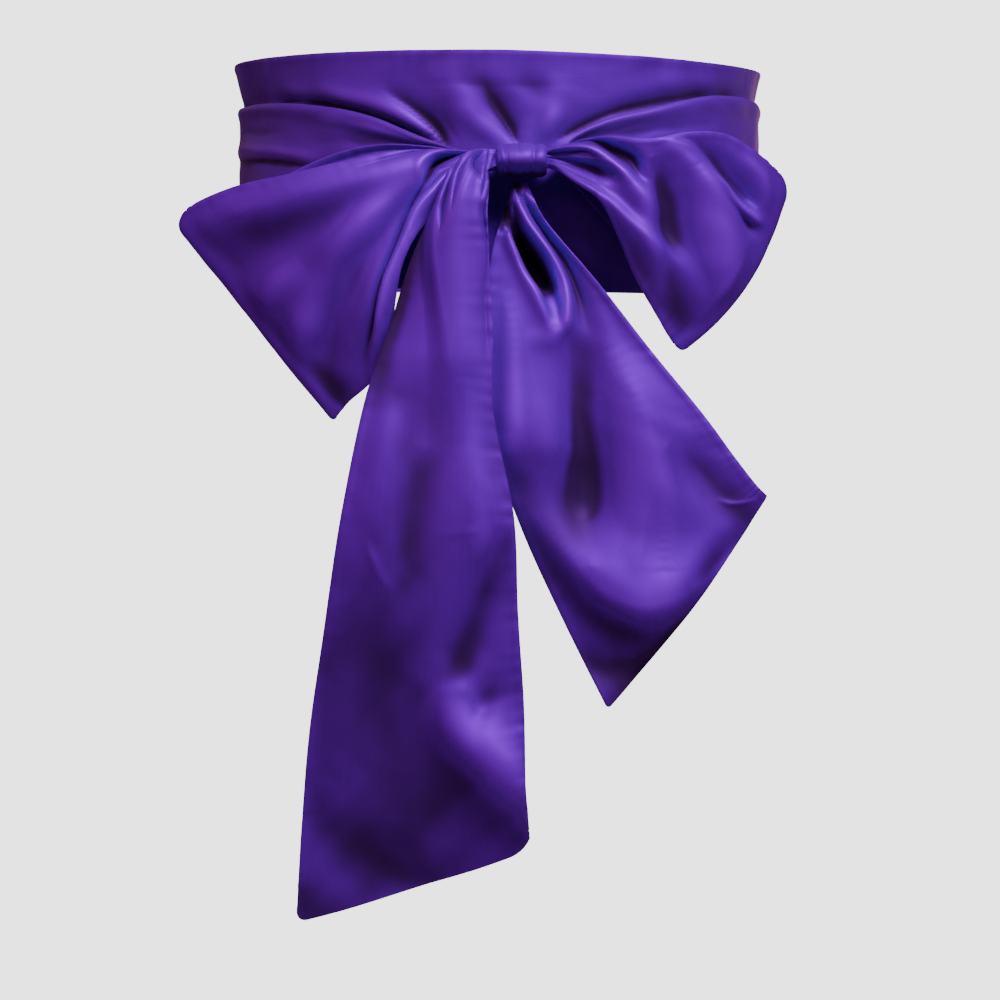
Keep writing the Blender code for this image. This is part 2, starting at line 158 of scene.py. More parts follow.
RIGHT_LOOP_CREASES = [
    crease(SOFT, (25, 11, 1.4, 0), (33, 12, 2.2, 1.8, -3.5), (48, 13, 4, 2.6, -6), (59, 8, 5.5, 4, -8),
        (69, 2, 5.5, 5, -8), (74, -6, 4.6, -4.5), (78, -13, 3, 0)),
    crease(SOFT, (25, 8, 1.5, 1.2, 0.5), (38, 9, 2, 1.6, 3.5), (49, 8, 2.4, 1.8, 4.6), (57, 3, 3.2, 2.2, 5),
        (66, -5, 4.4, 3, 4.4), (75, -16, 7, 5, 2.4), (86, -29, 8, 7, 0), lean=0.2),
    crease(CRISP, (26, 7, 0.8, 0), (35, 7, 1, -3), (45, 7, 1.2, 1, -3), (50, 5, 1.2, 1, 0)),
    crease(SOFT, (28, 5, 1.4, 0), (37, 2, 3, 2.4, -4.5), (47, -1, 4.4, 3, -7), (54, -4, 4, 3.2, -5.5),
        (61, -7, 3, 0)),
    crease(SOFT, (27, 3, 2, 1.5, 0), (38, -6, 3, 2.4, 3), (50, -14, 5, 3, 4.4), (59, -21, 7, 4, 5),
        (70, -32, 10, 5, 5.5), (82, -42, 13, 6, 5.5), (95, -54, 15, 7, 5), (103, -70, 13, 7, 3),
        (105, -86, 9, 7, 0)),
    crease(SOFT, (80, 4, 3, 4, 0), (84, -7, 6, 10, -4.5), (86, -22, 7, 13, -6.5), (89, -40, 8, 14, -6),
        (92, -62, 8, 13, -4), (96, -82, 8, 10, -1.6), (99, -96, 6, 0)),
    crease(SOFT, (103, 1, 6, 0), (112, -18, 11, 9, 4.5), (119, -41, 12, 10, 6), (120, -62, 12, 10, 4.4),
        (113, -83, 8, 0)),
    crease(SOFT, (68, -10, 5, 0), (77, -20, 7, 2.6), (80, -39, 7, 2), (85, -62, 7, 6, 1), (91, -78, 6, 0)),
    crease(SOFT, (74, 14, 3, 2, 0), (86, 13, 6, 2.4, 1.4), (98, 10, 9, 2.6, 3), (107, 3, 10, 2.8, 4.2),
        (114, -5, 9, 2.8, 4.4), (120, -14, 8, 3, 3.4), (125, -21, 6, 3, 1.6), (132, -29, 5, 4, 0)),
    crease(SOFT, (91, 14, 3, 0), (102, 8, 4, 6, -2.5), (114, 0, 6, 8, -4.5), (123, -9, 7, 8, -5.5),
        (131, -16, 6, -4.5), (136, -21, 4, 0)),
    crease(SOFT, (114, -5, 1.5, 2, 0), (120, -10, 1.6, 2.4, 2.8), (127, -19, 2, 2.6, 3.2),
        (135, -26, 2.4, 3, 2.8), (143, -30, 3, 0)),
    crease(SOFT, (117, -13, 1.8, 0), (124, -21, 2.4, 2.2, -1.6), (133, -31, 3.4, 3, -2),
        (142, -38, 4, 3, 0)),
    crease(SOFT, (127, 8, 5, 0), (137, -2, 5, 2.4), (143, -15, 5, 2), (145, -31, 5, 0)),
    crease(SOFT, (154, -6, 6, -2), (153, -23, 7, -3.4), (142, -50, 7, -3.4), (125, -76, 7, -3.4),
        (105, -98, 6, -2)),
    crease(CRISP, (25, 9, 0.8, 0), (35, 11, 0.9, 1.2), (45, 11, 1, 0)),
]
LEFT_TAIL_CREASES = [
    crease(STEP, (-19, 3, 1.4, 14, 0), (-28, -9, 1.8, 14, -3.5), (-35, -26, 2.4, 16, -5.5),
        (-37, -47, 4, 18, -6), (-34, -76, 5.5, 22, -5), (-31, -107, 7, 26, -3), (-29, -139, 8, 28, -1.4),
        (-28, -165, 9, 28, 0)),
    crease(CRISP, (-25, -7, 0.8, 0), (-27, -14, 1, -4.2), (-29, -22, 1.1, -4.2), (-30, -30, 1, -1.5),
        (-31, -35, 1, 0)),
    crease(SOFT, (-11, 2, 5, 4, 1), (-19, -16, 8, 6, 2.6), (-23, -39, 11, 12, 2.8), (-21, -71, 14, 2.8),
        (-19, -107, 16, 14, 1.8), (-19, -144, 14, 12, 0)),
    crease(CRISP, (-1, 9, 0.8, 0), (-3, 1, 0.9, -2.2), (-4, -8, 1, -2.2), (-6, -19, 1.2, 0)),
    crease(CRISP, (-5, 10, 0.8, 0), (-6, 2, 0.9, -2.2), (-7, -6, 1, -1.8), (-9, -18, 1.2, 0)),
    crease(SOFT, (-7, 9, 1.2, 0), (-8, 2, 1.6, 1.2), (-9, -7, 2, 1.2), (-11, -19, 2, 0)),
    crease(CRISP, (-8, 7, 1.2, 0), (-11, 4, 2.2, -6), (-12, -1, 2.2, -6), (-11, -4, 1.6, -2),
        (-10, -8, 1.2, 0)),
    crease(CRISP, (-15, 4, 0.8, 0), (-20, -3, 1, -1.8), (-23, -13, 1.2, -1.4), (-25, -25, 1.2, 0)),
    crease(CRISP, (-19, 6, 1, -1), (-25, -6, 1.2, -2.4), (-29, -19, 1.4, -1.6), (-31, -32, 1.4, 0)),
    crease(CRISP, (-3, -4, 0.8, 0), (-6, -17, 1.2, -2.2), (-8, -25, 1.6, 1.4, -4),
        (-7, -35, 1.6, 1.4, -3.6), (-6, -49, 2, -1.6), (-7, -76, 3, -1.6), (-5, -107, 3.5, 3, -1.2),
        (-4, -139, 4, 3, 0)),
    crease(SOFT, (-62, -92, 12, 16, 1), (-41, -97, 20, 34, 3.4), (-20, -99, 22, 38, 4),
        (-2, -97, 20, 30, 2.4)),
    crease(SOFT, (-15, -112, 8, 0), (-15, -139, 10, 2), (-12, -165, 12, 11, 3), (-8, -196, 12, 10, 2.6),
        (-7, -222, 12, 10, 0)),
    crease(SOFT, (-53, -121, 8, 0), (-58, -137, 8, 10, 2.6), (-61, -155, 9, 10, 3),
        (-64, -175, 10, 11, 1.6), (-65, -196, 10, 0)),
    crease(SOFT, (-39, -148, 8, 10, 0), (-42, -170, 9, 12, -2.4), (-45, -191, 9, 13, -3),
        (-46, -214, 9, 12, -2), (-48, -238, 10, 0)),
    crease(SOFT, (-104, -185, 50, 36, 4), (-52, -191, 56, 40, 7), (-10, -193, 56, 40, 7),
        (21, -196, 50, 36, 4)),
    crease(SOFT, (-33, -14, 4, 6, -1), (-42, -30, 5, 7, -3), (-51, -49, 5, 9, -5), (-58, -71, 5, 11, -6),
        (-65, -92, 5, 14, -4), (-71, -115, 5, 14, -2), (-77, -139, 5, 12, 0)),
    crease(SOFT, (5, -190, 5, 6, 0), (-1, -206, 8, 12, -3.5), (-7, -227, 10, 15, -5),
        (-15, -248, 11, 14, -5), (-19, -265, 10, -3), (-19, -274, 8, 0)),
    crease(SOFT, (-28, -253, 10, 0), (-26, -273, 12, 3), (-21, -292, 14, 18, 9), (-7, -305, 16, 19, 13),
        (7, -318, 16, 19, 13.5), (19, -328, 16, 18, 12)),
    crease(SOFT, (-104, -335, 16, -1), (-88, -348, 18, -2.6), (-67, -365, 18, -3.4), (-41, -375, 16, -3),
        (-26, -375, 12, -1)),
    crease(SOFT, (-80, -227, 16, 0), (-66, -253, 20, 24, -3), (-56, -284, 24, 26, -4), (-56, -316, 24, -2),
        (-56, -342, 20, 0)),
    crease(SOFT, (-88, -227, 8, 10, 0), (-92, -269, 9, 12, -1.8), (-95, -311, 9, 12, -1.4),
        (-100, -352, 8, 10, 0)),
    crease(CRISP, (-31, -191, 1.2, 1, 0), (-25, -192, 1.4, 1.2, 0.5), (-15, -191, 1.4, 1.2, 0.5),
        (-9, -190, 1, 0)),
    crease(CRISP, (-68, -195, 1.6, 2.4, 0), (-66, -204, 2, 4, 0.9), (-60, -216, 2.4, 5, 0.8),
        (-53, -223, 2, 3, 0)),
    crease(SOFT, (1, -265, 5, 0), (-7, -279, 6, -1.6), (-11, -292, 6, -1.2), (-12, -302, 5, 0)),
]
RIGHT_TAIL_CREASES = [
    crease(POCKET, (5, -10, 2.4, 1.4, -4), (4, -18, 4, 2.6, -9), (3, -25, 4.4, 3.4, -9), (3, -32, 4, 3, 0)),
    crease(POCKET, (7, -20, 1.4, -1), (10, -32, 4, 3.4, -10), (15, -42, 5.6, 5, -15),
        (20, -52, 6.2, 5.8, -17), (25, -62, 5, -13), (27, -69, 4.6, 4.4, -5), (29, -76, 4.4, 4.2, -2),
        (30, -82, 4, 0)),
    crease(SOFT, (8, -13, 1.6, 1), (12, -24, 2, 2.2, 2.5), (19, -36, 2.2, 2.6, 3.4), (28, -47, 2.2, 3, 3.8),
        (34, -58, 2.2, 3, 3.8), (36, -67, 2.4, 3, 3.6), (36, -76, 3, 3.4, 3), (34, -84, 3.4, 4, 2.4),
        (28, -90, 4, 5, 1.4), (20, -91, 5, 6, 0.7)),
    crease(SOFT, (3, -29, 3, 2, 1), (6, -39, 4, 2.2, 3), (12, -50, 4.6, 2.6, 3.4), (18, -63, 5, 3, 3),
        (23, -74, 5, 3.4, 2.4), (27, -83, 5, 4, 1.6)),
    crease(SOFT, (12, -14, 0.9, 0), (18, -24, 1.7, 1.6, -5), (26, -36, 2.8, 2.4, -6.4),
        (34, -49, 4, 3.2, -6.4), (40, -63, 5, 4, -5.4), (45, -78, 6, -4), (49, -96, 7, -2),
        (52, -123, 6, 0)),
    crease(SOFT, (14, -14, 1.4, 1.2, 0.6), (28, -29, 2.4, 2, 2.4), (42, -47, 3, 2.4, 2.6),
        (55, -64, 4, 3, 2), (74, -89, 5, 4, 1.4), (100, -122, 6, 5, 1), (126, -155, 5, 0)),
    crease(SOFT, (4, -65, 4, 6, 0), (7, -96, 8, 3), (7, -123, 9, 4), (6, -149, 9, 2.4), (4, -170, 7, 0)),
    crease(SOFT, (-5, -138, 14, 20, 1.6), (8, -143, 15, 26, 4), (24, -146, 15, 24, 4),
        (38, -144, 12, 18, 1.6)),
    crease(SOFT, (35, -82, 4, 5, 0), (39, -96, 8, 10, -4.4), (42, -120, 10, 13, -7.5),
        (44, -149, 12, 14, -9.5), (46, -175, 13, 14, -8.5), (47, -192, 12, -4.6), (48, -209, 9, 0)),
    crease(SOFT, (59, -96, 10, 8, 0), (72, -125, 16, 13, 4), (81, -157, 20, 15, 5), (85, -185, 22, 16, 4),
        (86, -212, 14, 0)),
    crease(SOFT, (5, -162, 5, 8, 0), (21, -185, 8, 12, 2), (39, -206, 11, 24, 8), (55, -222, 12, 30, 12),
        (75, -230, 12, 30, 12.5), (96, -224, 12, 26, 10), (116, -210, 10, 18, 5), (131, -196, 8, 10, 1)),
    crease(SOFT, (32, -248, 9, 10, -1), (51, -261, 11, 12, -4), (72, -265, 11, 12, -4),
        (93, -254, 9, 10, -1)),
    crease(SOFT, (88, -147, 8, 0), (102, -157, 12, 10, -3.4), (117, -171, 12, 10, -3.8), (129, -183, 9, -2),
        (135, -191, 5, 0)),
    crease(SOFT, (129, -191, 5, 0), (113, -207, 7, 6, -3), (103, -221, 6, 0)),
    crease(SOFT, (146, -176, 7, 5, -2), (130, -198, 9, 8, -4), (110, -226, 9, -5), (86, -258, 9, -5),
        (63, -287, 8, -3)),
    crease(CRISP, (115, -175, 1.2, 0), (122, -177, 1.6, 0.9), (131, -176, 1.4, 0.6), (136, -174, 1, 0)),
]
BAND_CREASES = [
    crease(CRISP, (-131, 41, 1.5, 0), (-113, 40, 2.5, 3, -2.4), (-90, 36, 3, 3.5, -4.6),
        (-68, 29, 3, 3.5, -5.6), (-49, 21, 3, 3.2, -5.6), (-36, 16, 2, 2.4, -4), (-27, 12, 1.5, 0)),
    crease(SOFT, (-124, 46, 5, 0), (-96, 43, 6, 1.2), (-69, 37, 5.5, 6, 1.8), (-50, 29, 4.5, 5, 2),
        (-36, 20, 3, 1), (-28, 15, 2, 0)),
    crease(CRISP, (-25, 12, 2, 0), (-32, 19, 7, 2.4, -5.5), (-41, 28, 10, 3, -5), (-52, 37, 10, 4, -3),
        (-63, 44, 8, 6, 0)),
    crease(CRISP, (11, 13, 2, -1), (6, 21, 8, 2.8, -5), (-1, 32, 10, 3.6, -4), (-6, 42, 10, 5, -2),
        (-10, 53, 7, 0)),
    crease(SOFT, (1, 15, 3, 0), (-12, 26, 7, 2.2), (-23, 39, 9, 2), (-31, 52, 9, 0)),
    crease(SOFT, (24, 16, 3, 0), (28, 29, 8, 7, 2.2), (30, 42, 10, 9, 1.4), (30, 54, 9, 0)),
    crease(CRISP, (-20, 13, 1, 0), (-26, 23, 1.4, -0.9), (-32, 33, 1.8, 0)),
    crease(CRISP, (27, 15, 1.5, 0), (43, 23, 2.6, 3, -2.6), (60, 31, 3.4, 4, -3.6), (78, 36, 4, 5, -3.6),
        (103, 42, 4, 5, -3.2), (125, 45, 3, 4, -2), (139, 46, 3, 0)),
    crease(SOFT, (54, 39, 6, 0), (81, 46, 7, 1.2), (108, 51, 6, 1), (131, 53, 5, 0)),
    crease(CRISP, (-47, 47, 2, 0), (-26, 46, 2, -0.35), (11, 45, 2, -0.4), (48, 45, 2, 0)),
]
LEFT_TURN_CREASES = [
    crease(SOFT, (-26, 13, 1.5, 0), (-39, 14, 3, 2.6, 1.6), (-58, 20, 3.5, 3, 1.8), (-80, 27, 4, 3.4, 1.4),
        (-107, 33, 4, 0.8), (-129, 36, 4, 0)),
    crease(CRISP, (-148, 12, 1.6, -1.4), (-132, 10, 1.8, 2, -2.6), (-116, 7, 2, 2.4, -3.2),
        (-106, 5, 1.6, 2, -1.6), (-97, 2, 1.5, 0)),
    crease(SOFT, (-148, 18, 4, 0.8), (-127, 14, 5, 1.6), (-107, 10, 5, 1.4), (-85, 7, 5, 0)),
    crease(SOFT, (-27, 12, 2, 0), (-42, 12, 2.2, 2.4, -1.4), (-61, 16, 3, -1.4), (-82, 17, 4, -0.8),
        (-101, 17, 4, 0)),
    crease(CRISP, (-143, 28, 2, 0), (-129, 24, 2.5, -0.7), (-113, 24, 2.5, 0)),
]
RIGHT_TURN_CREASES = [
    crease(SOFT, (26, 12, 1.5, 0.4), (39, 18, 2.6, 2.4, 1.6), (59, 25, 4, 3.4, 1.8), (81, 31, 5, 4, 1.4),
        (108, 37, 5, 4, 1), (136, 40, 5, 4, 0.6)),
    crease(SOFT, (28, 11, 1.4, 0), (48, 18, 2.4, 2.6, -1.2), (70, 22, 3, 3.6, -1.2), (97, 26, 4, -0.8),
        (125, 29, 4, 0)),
]

# Painted shade and highlight on the front, as folds whose heights are tones: over 0 darker, under 0 lighter.
LEFT_LOOP_PAINTED_SHADING = [
    crease(SOFT, (-163, -37, 10, 0.45), (-153, -58, 14, 0.7), (-123, -92, 14, 0.8), (-95, -122, 15, 0.8)),
    crease(SOFT, (-78, -96, 8, 0.1), (-83, -117, 12, 10, 0.35)),
    crease(SOFT, (-56, -13, 8, -0.3), (-66, -25, 11, -0.8), (-74, -39, 9, -0.3)),
    crease(SOFT, (-110, -50, 14, -0.2), (-100, -76, 16, -0.5), (-96, -96, 8, -0.2)),
    crease(SOFT, (-57, -14, 8, 0.1), (-104, -24, 11, 12, 0.4), (-136, -32, 11, 12, 0.4),
        (-153, -38, 9, 10, 0.2)),
    crease(SOFT, (-38, -15, 4, -0.2), (-46, -28, 6, -0.4), (-50, -41, 6, -0.5), (-56, -54, 6, -0.5),
        (-63, -75, 5, 4, -0.3)),
]
RIGHT_LOOP_PAINTED_SHADING = [
    crease(SOFT, (59, -26, 4, 0.2), (69, -41, 7, 0.35), (79, -57, 10, 0.45), (91, -73, 12, 0.45),
        (99, -89, 10, 0.25)),
    crease(SOFT, (86, -2, 8, 3, 0.1), (89, -20, 4, 10, 0.3), (93, -41, 6, 11, 0.3), (97, -62, 8, 12, 0.15),
        (100, -80, 8, 12, 0.15)),
    crease(SOFT, (106, -13, 8, -0.3), (113, -33, 14, -0.6), (118, -54, 11, -0.4)),
    crease(SOFT, (120, -1, 5, -0.2), (129, -11, 7, -0.5), (135, -20, 5, -0.3)),
    crease(SOFT, (56, -3, 5, -0.1), (69, -14, 8, -0.35), (78, -29, 8, -0.35), (82, -44, 8, -0.1)),
    crease(SOFT, (146, -36, 6, 0.1), (139, -62, 7, 0.1)),
]
LEFT_TAIL_PAINTED_SHADING = [
    crease(SOFT, (-4, -123, 7, 6, 0.1), (-1, -154, 9, 8, 0.3), (4, -185, 9, 8, 0.25), (7, -211, 7, 6, 0.1)),
    crease(SOFT, (-78, -227, 30, 26, 0.2), (-77, -269, 36, 30, 0.35), (-72, -300, 44, 36, 0.45),
        (-59, -324, 54, 40, 0.55), (-49, -344, 58, 46, 0.7), (-36, -359, 44, 28, 0.45)),
    crease(SOFT, (4, -196, 5, 6, 0.2), (-5, -217, 9, 0.1), (-15, -248, 10, 12, 0.15),
        (-23, -266, 10, 9, 0.3), (-22, -274, 8, 6, 0.1)),
    crease(SOFT, (-46, -128, 20, 24, 0.2), (-49, -154, 26, 30, 0.45), (-46, -185, 30, 32, 0.4),
        (-49, -217, 32, 0.4), (-54, -248, 30, 0.3)),
    crease(SOFT, (-39, -159, 10, 0.1), (-44, -183, 13, 0.15), (-49, -206, 14, 0.1)),
    crease(SOFT, (-21, -282, 6, 10, -0.3), (-10, -294, 10, 14, -0.55), (3, -308, 10, 14, -0.55),
        (13, -322, 8, 10, -0.3)),
    crease(SOFT, (-48, -45, 6, 5, 0.4), (-56, -71, 8, 7, 0.8), (-60, -94, 8, 0.8), (-66, -123, 8, 0.3)),
    crease(SOFT, (-19, -19, 6, -0.1), (-20, -39, 9, -0.25), (-19, -71, 10, -0.2), (-16, -97, 9, -0.05)),
    crease(SOFT, (-106, -384, 12, 0.5), (-93, -394, 12, 0.5), (-67, -386, 8, 0.2)),
]
RIGHT_TAIL_PAINTED_SHADING = [
    crease(SOFT, (7, -159, 8, 0.4), (24, -196, 12, 14, 0.45), (42, -223, 14, 0.4), (59, -242, 14, 0.45),
        (78, -248, 13, 12, 0.35), (91, -242, 8, 0.2)),
    crease(SOFT, (32, -138, 10, 0.1), (36, -165, 10, 12, 0.3), (37, -191, 12, 14, 0.5),
        (45, -209, 10, 12, 0.2)),
    crease(SOFT, (105, -163, 14, 0.2), (120, -178, 16, 0.45), (131, -188, 10, 0.5)),
    crease(SOFT, (114, -204, 6, 0.3), (105, -215, 8, 0.5), (99, -225, 6, 0.2)),
    crease(SOFT, (44, -265, 12, 0.4), (56, -275, 14, 0.8), (74, -261, 10, 0.35)),
    crease(SOFT, (45, -86, 10, 0.1), (63, -104, 16, 0.25), (79, -123, 16, 0.2)),
    crease(SOFT, (4, -70, 5, 6, -0.1), (7, -102, 8, -0.2), (7, -123, 8, -0.2), (6, -144, 6, -0.1)),
    crease(SOFT, (63, -123, 10, -0.1), (74, -154, 14, -0.3), (81, -185, 14, -0.35), (83, -214, 12, -0.35),
        (74, -227, 8, -0.2)),
    crease(SOFT, (33, -44, 4, 0.2), (42, -65, 6, 0.2), (48, -81, 8, 0.1)),
    crease(SOFT, (9, -18, 2.4, -0.1), (14, -27, 2.6, -0.25), (21, -39, 3, -0.3), (28, -49, 3, -0.3),
        (33, -62, 3, -0.3), (34, -75, 3, -0.3), (30, -85, 4, -0.2)),
    crease(SOFT, (4, -10, 5, 3, 1.2), (3, -19, 6, 3.4, 1.7), (3, -28, 5.4, 4, 1.4), (4, -36, 3, 0.3)),
    crease(SOFT, (7, -8, 4, 9, 1.6), (9, -13, 3, 4, 0.9), (10, -16, 2, 0)),
]
BAND_PAINTED_SHADING = [
    crease(SOFT, (-53, 51, 14, 24, 0.15), (-26, 48, 16, 24, 0.35), (22, 47, 16, 24, 0.3),
        (64, 52, 14, 24, 0.15)),
]

# Folds of the hidden sides, in the strips' own rows and shares across.
LEFT_LOOP_FOLDS = [
    Fold(SOFT, [(14.5, 0.1, 0.05, 0), (13, 0.08, 0.06, 2.2), (11, 0.07, 0.06, 2.4), (9.5, 0.08, 0.05, 0)]),
    Fold(CRISP, [(14.6, 0.3, 0.03, 0), (13.2, 0.32, 0.04, -3), (11.6, 0.28, 0.05, -2),
        (9.8, 0.25, 0.05, 0)]),
    Fold(SOFT, [(14.6, 0.5, 0.05, 0), (13, 0.48, 0.07, 2.6), (11, 0.44, 0.09, 2.2), (9.2, 0.42, 0.1, 0)]),
    Fold(CRISP, [(14.6, 0.68, 0.03, 0), (13, 0.66, 0.04, -2.6), (11.2, 0.64, 0.06, -1.6),
        (9.6, 0.62, 0.05, 0)]),
    Fold(SOFT, [(14.6, 0.85, 0.04, 0), (12.6, 0.84, 0.06, 2.4), (10.6, 0.86, 0.07, 1.6),
        (9.4, 0.86, 0.05, 0)]),
]
RIGHT_LOOP_FOLDS = [
    Fold(SOFT, [(14.5, 0.12, 0.05, 0), (13, 0.1, 0.06, 2), (11, 0.09, 0.06, 2), (9.5, 0.1, 0.05, 0)]),
    Fold(CRISP, [(14.6, 0.34, 0.03, 0), (13.2, 0.35, 0.04, -2.6), (11.6, 0.31, 0.06, -2),
        (9.8, 0.28, 0.06, 0)]),
    Fold(SOFT, [(14.6, 0.55, 0.05, 0), (13, 0.52, 0.07, 2.2), (11, 0.5, 0.1, 2), (9.2, 0.48, 0.1, 0)]),
    Fold(CRISP, [(14.6, 0.76, 0.03, 0), (13, 0.74, 0.04, -2.4), (11.2, 0.72, 0.06, -1.4),
        (9.6, 0.7, 0.05, 0)]),
]
LEFT_TURN_FOLDS = [
    Fold(SOFT, [(0.6, 0.3, 0.1, 0), (3, 0.25, 0.1, 0.9), (6, 0.22, 0.1, 0.7), (9, 0.2, 0.1, 0)]),
    Fold(CRISP, [(1.2, 0.62, 0.04, 0), (3.5, 0.6, 0.05, -0.7), (6.5, 0.56, 0.06, -0.5), (9, 0.55, 0.1, 0)]),
    Fold(SOFT, [(9, 0.55, 0.12, 0), (10.5, 0.6, 0.12, 1.4), (12, 0.66, 0.12, 1.4), (14, 0.7, 0.1, 0)]),
]
RIGHT_TURN_FOLDS = [
    Fold(SOFT, [(16.5, 0.3, 0.1, 0), (14, 0.28, 0.1, 0.9), (11, 0.25, 0.1, 0.7), (8, 0.25, 0.1, 0)]),
    Fold(CRISP, [(16.2, 0.64, 0.04, 0), (13.5, 0.62, 0.05, -0.7), (10.5, 0.58, 0.06, -0.5),
        (8, 0.6, 0.1, 0)]),
    Fold(SOFT, [(2, 0.7, 0.12, 0), (4, 0.64, 0.14, 1.4), (6, 0.6, 0.12, 1), (8, 0.6, 0.1, 0)]),
]


class SashCloth(bpy.types.PropertyGroup):
    thickness: bpy.props.FloatProperty(
        name="Thickness", description="The cloth's two layers together", default=0.0009, unit="LENGTH"
    )
    edge_roll: bpy.props.FloatProperty(
        name="Edge roll", description="How much thicker the strip is along its seamed edge",
        default=0.0005, unit="LENGTH",
    )
    pucker: bpy.props.FloatProperty(
        name="Edge pucker", description="Height of the small waves along a seamed edge",
        default=0.0002, unit="LENGTH",
    )
    fold_strength: bpy.props.FloatProperty(
        name="Folds", description="Multiplies the height of every fold", default=1.0, min=0.0
    )
    satin_colour: bpy.props.FloatVectorProperty(
        name="Satin", description="Dye of the satin", subtype="COLOR", size=4,
        default=(0.19, 0.0, 0.60, 1.0),
    )
    shade_colour: bpy.props.FloatVectorProperty(
        name="Shade", description="The dye where the weave lies the other way", subtype="COLOR", size=4,
        default=(0.15, 0.0, 0.44, 1.0),
    )
    # Painted shade: mixed in where the cloth lies deep in a fold and where the tone tables darken it.
    painted_hollow_shade_colour: bpy.props.FloatVectorProperty(
        name="PaintedHollowShade", description="The cloth deep in a fold, where little light comes", subtype="COLOR",
        size=4, default=(0.06, 0.012, 0.115, 1.0),
    )
    # Painted shadow: a nearly black colour mixed in on the floors of deep pockets.
    painted_pocket_shadow_colour: bpy.props.FloatVectorProperty(
        name="PaintedPocketShadow", description="The cloth on the floor of a deep pocket", subtype="COLOR", size=4,
        default=(0.012, 0.008, 0.018, 1.0),
    )
    # Painted highlight: a lighter, bluer colour mixed in on the crests of folds and where the tone tables
    # lighten the cloth.
    painted_crest_highlight_colour: bpy.props.FloatVectorProperty(
        name="PaintedCrestHighlight", description="The cloth on a fold's crest, where the yarn is stretched bright",
        subtype="COLOR", size=4, default=(0.31, 0.0, 0.9, 1.0),
    )


class SashStudio(bpy.types.PropertyGroup):
    camera_height: bpy.props.FloatProperty(
        name="Camera height", description="Height of the camera from the middle of the waist",
        default=-0.175, unit="LENGTH",
    )
    camera_distance: bpy.props.FloatProperty(
        name="Camera distance", description="From the middle of the waist to the camera",
        default=2.375, unit="LENGTH",
    )
    lens: bpy.props.FloatProperty(
        name="Lens", description="Focal length on a 36 mm wide sensor", default=154.48
    )
    surround: bpy.props.FloatProperty(
        name="Surround", description="Strength of the light from all round", default=0.08, min=0.0
    )
    backdrop: bpy.props.FloatProperty(
        name="Backdrop", description="Brightness of the floor and the backdrop in the picture", default=3.0,
        min=0.0,
    )
    floor_height: bpy.props.FloatProperty(
        name="Floor height", description="Height of the floor from the middle of the waist",
        default=-0.95, unit="LENGTH",
    )


def smoothstep(value):
    """3 v^2 - 2 v^3, with v kept from 0 to 1."""
    value = np.clip(value, 0.0, 1.0)
    return value * value * (3.0 - 2.0 * value)


def unit(vectors):
    """Vectors over their own lengths."""
    return vectors / np.maximum(np.linalg.norm(vectors, axis=-1, keepdims=True), 1e-9)


def wave(turns):
    """The sine of a number of full turns."""
    return np.sin(2 * np.pi * turns)


def through(places, rows, at):
    """A smooth curve through the rows, read at the wanted places: each span is the cubic whose end slopes
    are those of the rows on both sides of it."""
    slopes = np.gradient(rows, places, axis=0)
    span = np.clip(np.searchsorted(places, at, side="right") - 1, 0, len(places) - 2)
    length = (places[span + 1] - places[span])[:, None]
    t = (at - places[span])[:, None] / length
    start = rows[span] * (1 + 2 * t) * (1 - t) ** 2 + slopes[span] * length * t * (1 - t) ** 2
    end = rows[span + 1] * (3 - 2 * t) * t**2 + slopes[span + 1] * length * t**2 * (t - 1)
    return start + end


# How round a crisp fold's point is, and how much narrower it is than its width says.
CRISP_ROUND = 0.3
CRISP_NARROW = 1.4


def profile(kind, off):
    """A fold's height over its distance from the crest in widths: a bell exp(-d^2) for a soft fold, a
    flat floor with steep walls exp(-d^4) for a pocket, and exp(e - sqrt(e^2 + d^2)), a rounded point, for
    a crisp one."""
    if kind == SOFT:
        return np.exp(-(off**2))
    if kind == POCKET:
        return np.exp(-(off**4))
    return np.exp(CRISP_ROUND - np.sqrt(CRISP_ROUND**2 + (off * CRISP_NARROW) ** 2))


# Into how many short lines each span of a fold is cut, and over how many mm two as near ones blend.
SPAN_CUTS = 6
BLEND = 1.5


def nearest(nodes, x, z):
    """For each point (x, z): its distance from a smooth line through the nodes, its side, the line's
    left-hand direction and the nodes' other values there. The side is 1 on the line's left, -1 on its
    right and in between past its ends. The last two are means over the line's short spans, weighted by
    exp(-(distance - least distance) / BLEND), so that nothing jumps where two parts are as near."""
    last = len(nodes) - 1
    line = through(np.arange(last + 1.0), nodes, np.linspace(0.0, last, SPAN_CUTS * last + 1))
    start, run = line[:-1, :2], np.diff(line[:, :2], axis=0)
    dx = x[:, None] - start[None, :, 0]
    dz = z[:, None] - start[None, :, 1]
    size = (run**2).sum(1)
    t = np.clip((dx * run[:, 0] + dz * run[:, 1]) / size, 0.0, 1.0)
    away = np.sqrt((dx - t * run[:, 0]) ** 2 + (dz - t * run[:, 1]) ** 2)
    best = np.argmin(away, axis=1)[:, None]
    least = np.take_along_axis(away, best, 1)
    weight = np.exp((least - away) / BLEND)
    weight /= weight.sum(axis=1, keepdims=True)
    offset = np.take_along_axis((run[:, 0] * dz - run[:, 1] * dx) / np.sqrt(size), best, 1)
    side = np.clip(offset / np.maximum(least, 1e-6), -1.0, 1.0)
    left = np.stack([-run[:, 1], run[:, 0]], -1) / np.sqrt(size)[:, None]
    values = weight @ line[:-1, 2:] + (weight * t) @ (line[1:, 2:] - line[:-1, 2:])
    return least[:, 0], side[:, 0], weight @ left, values


# How far a fold reaches, in its widths, and the least width it may have, in mm.
FOLD_REACH = 3.5
LEAST_WIDTH = 0.4


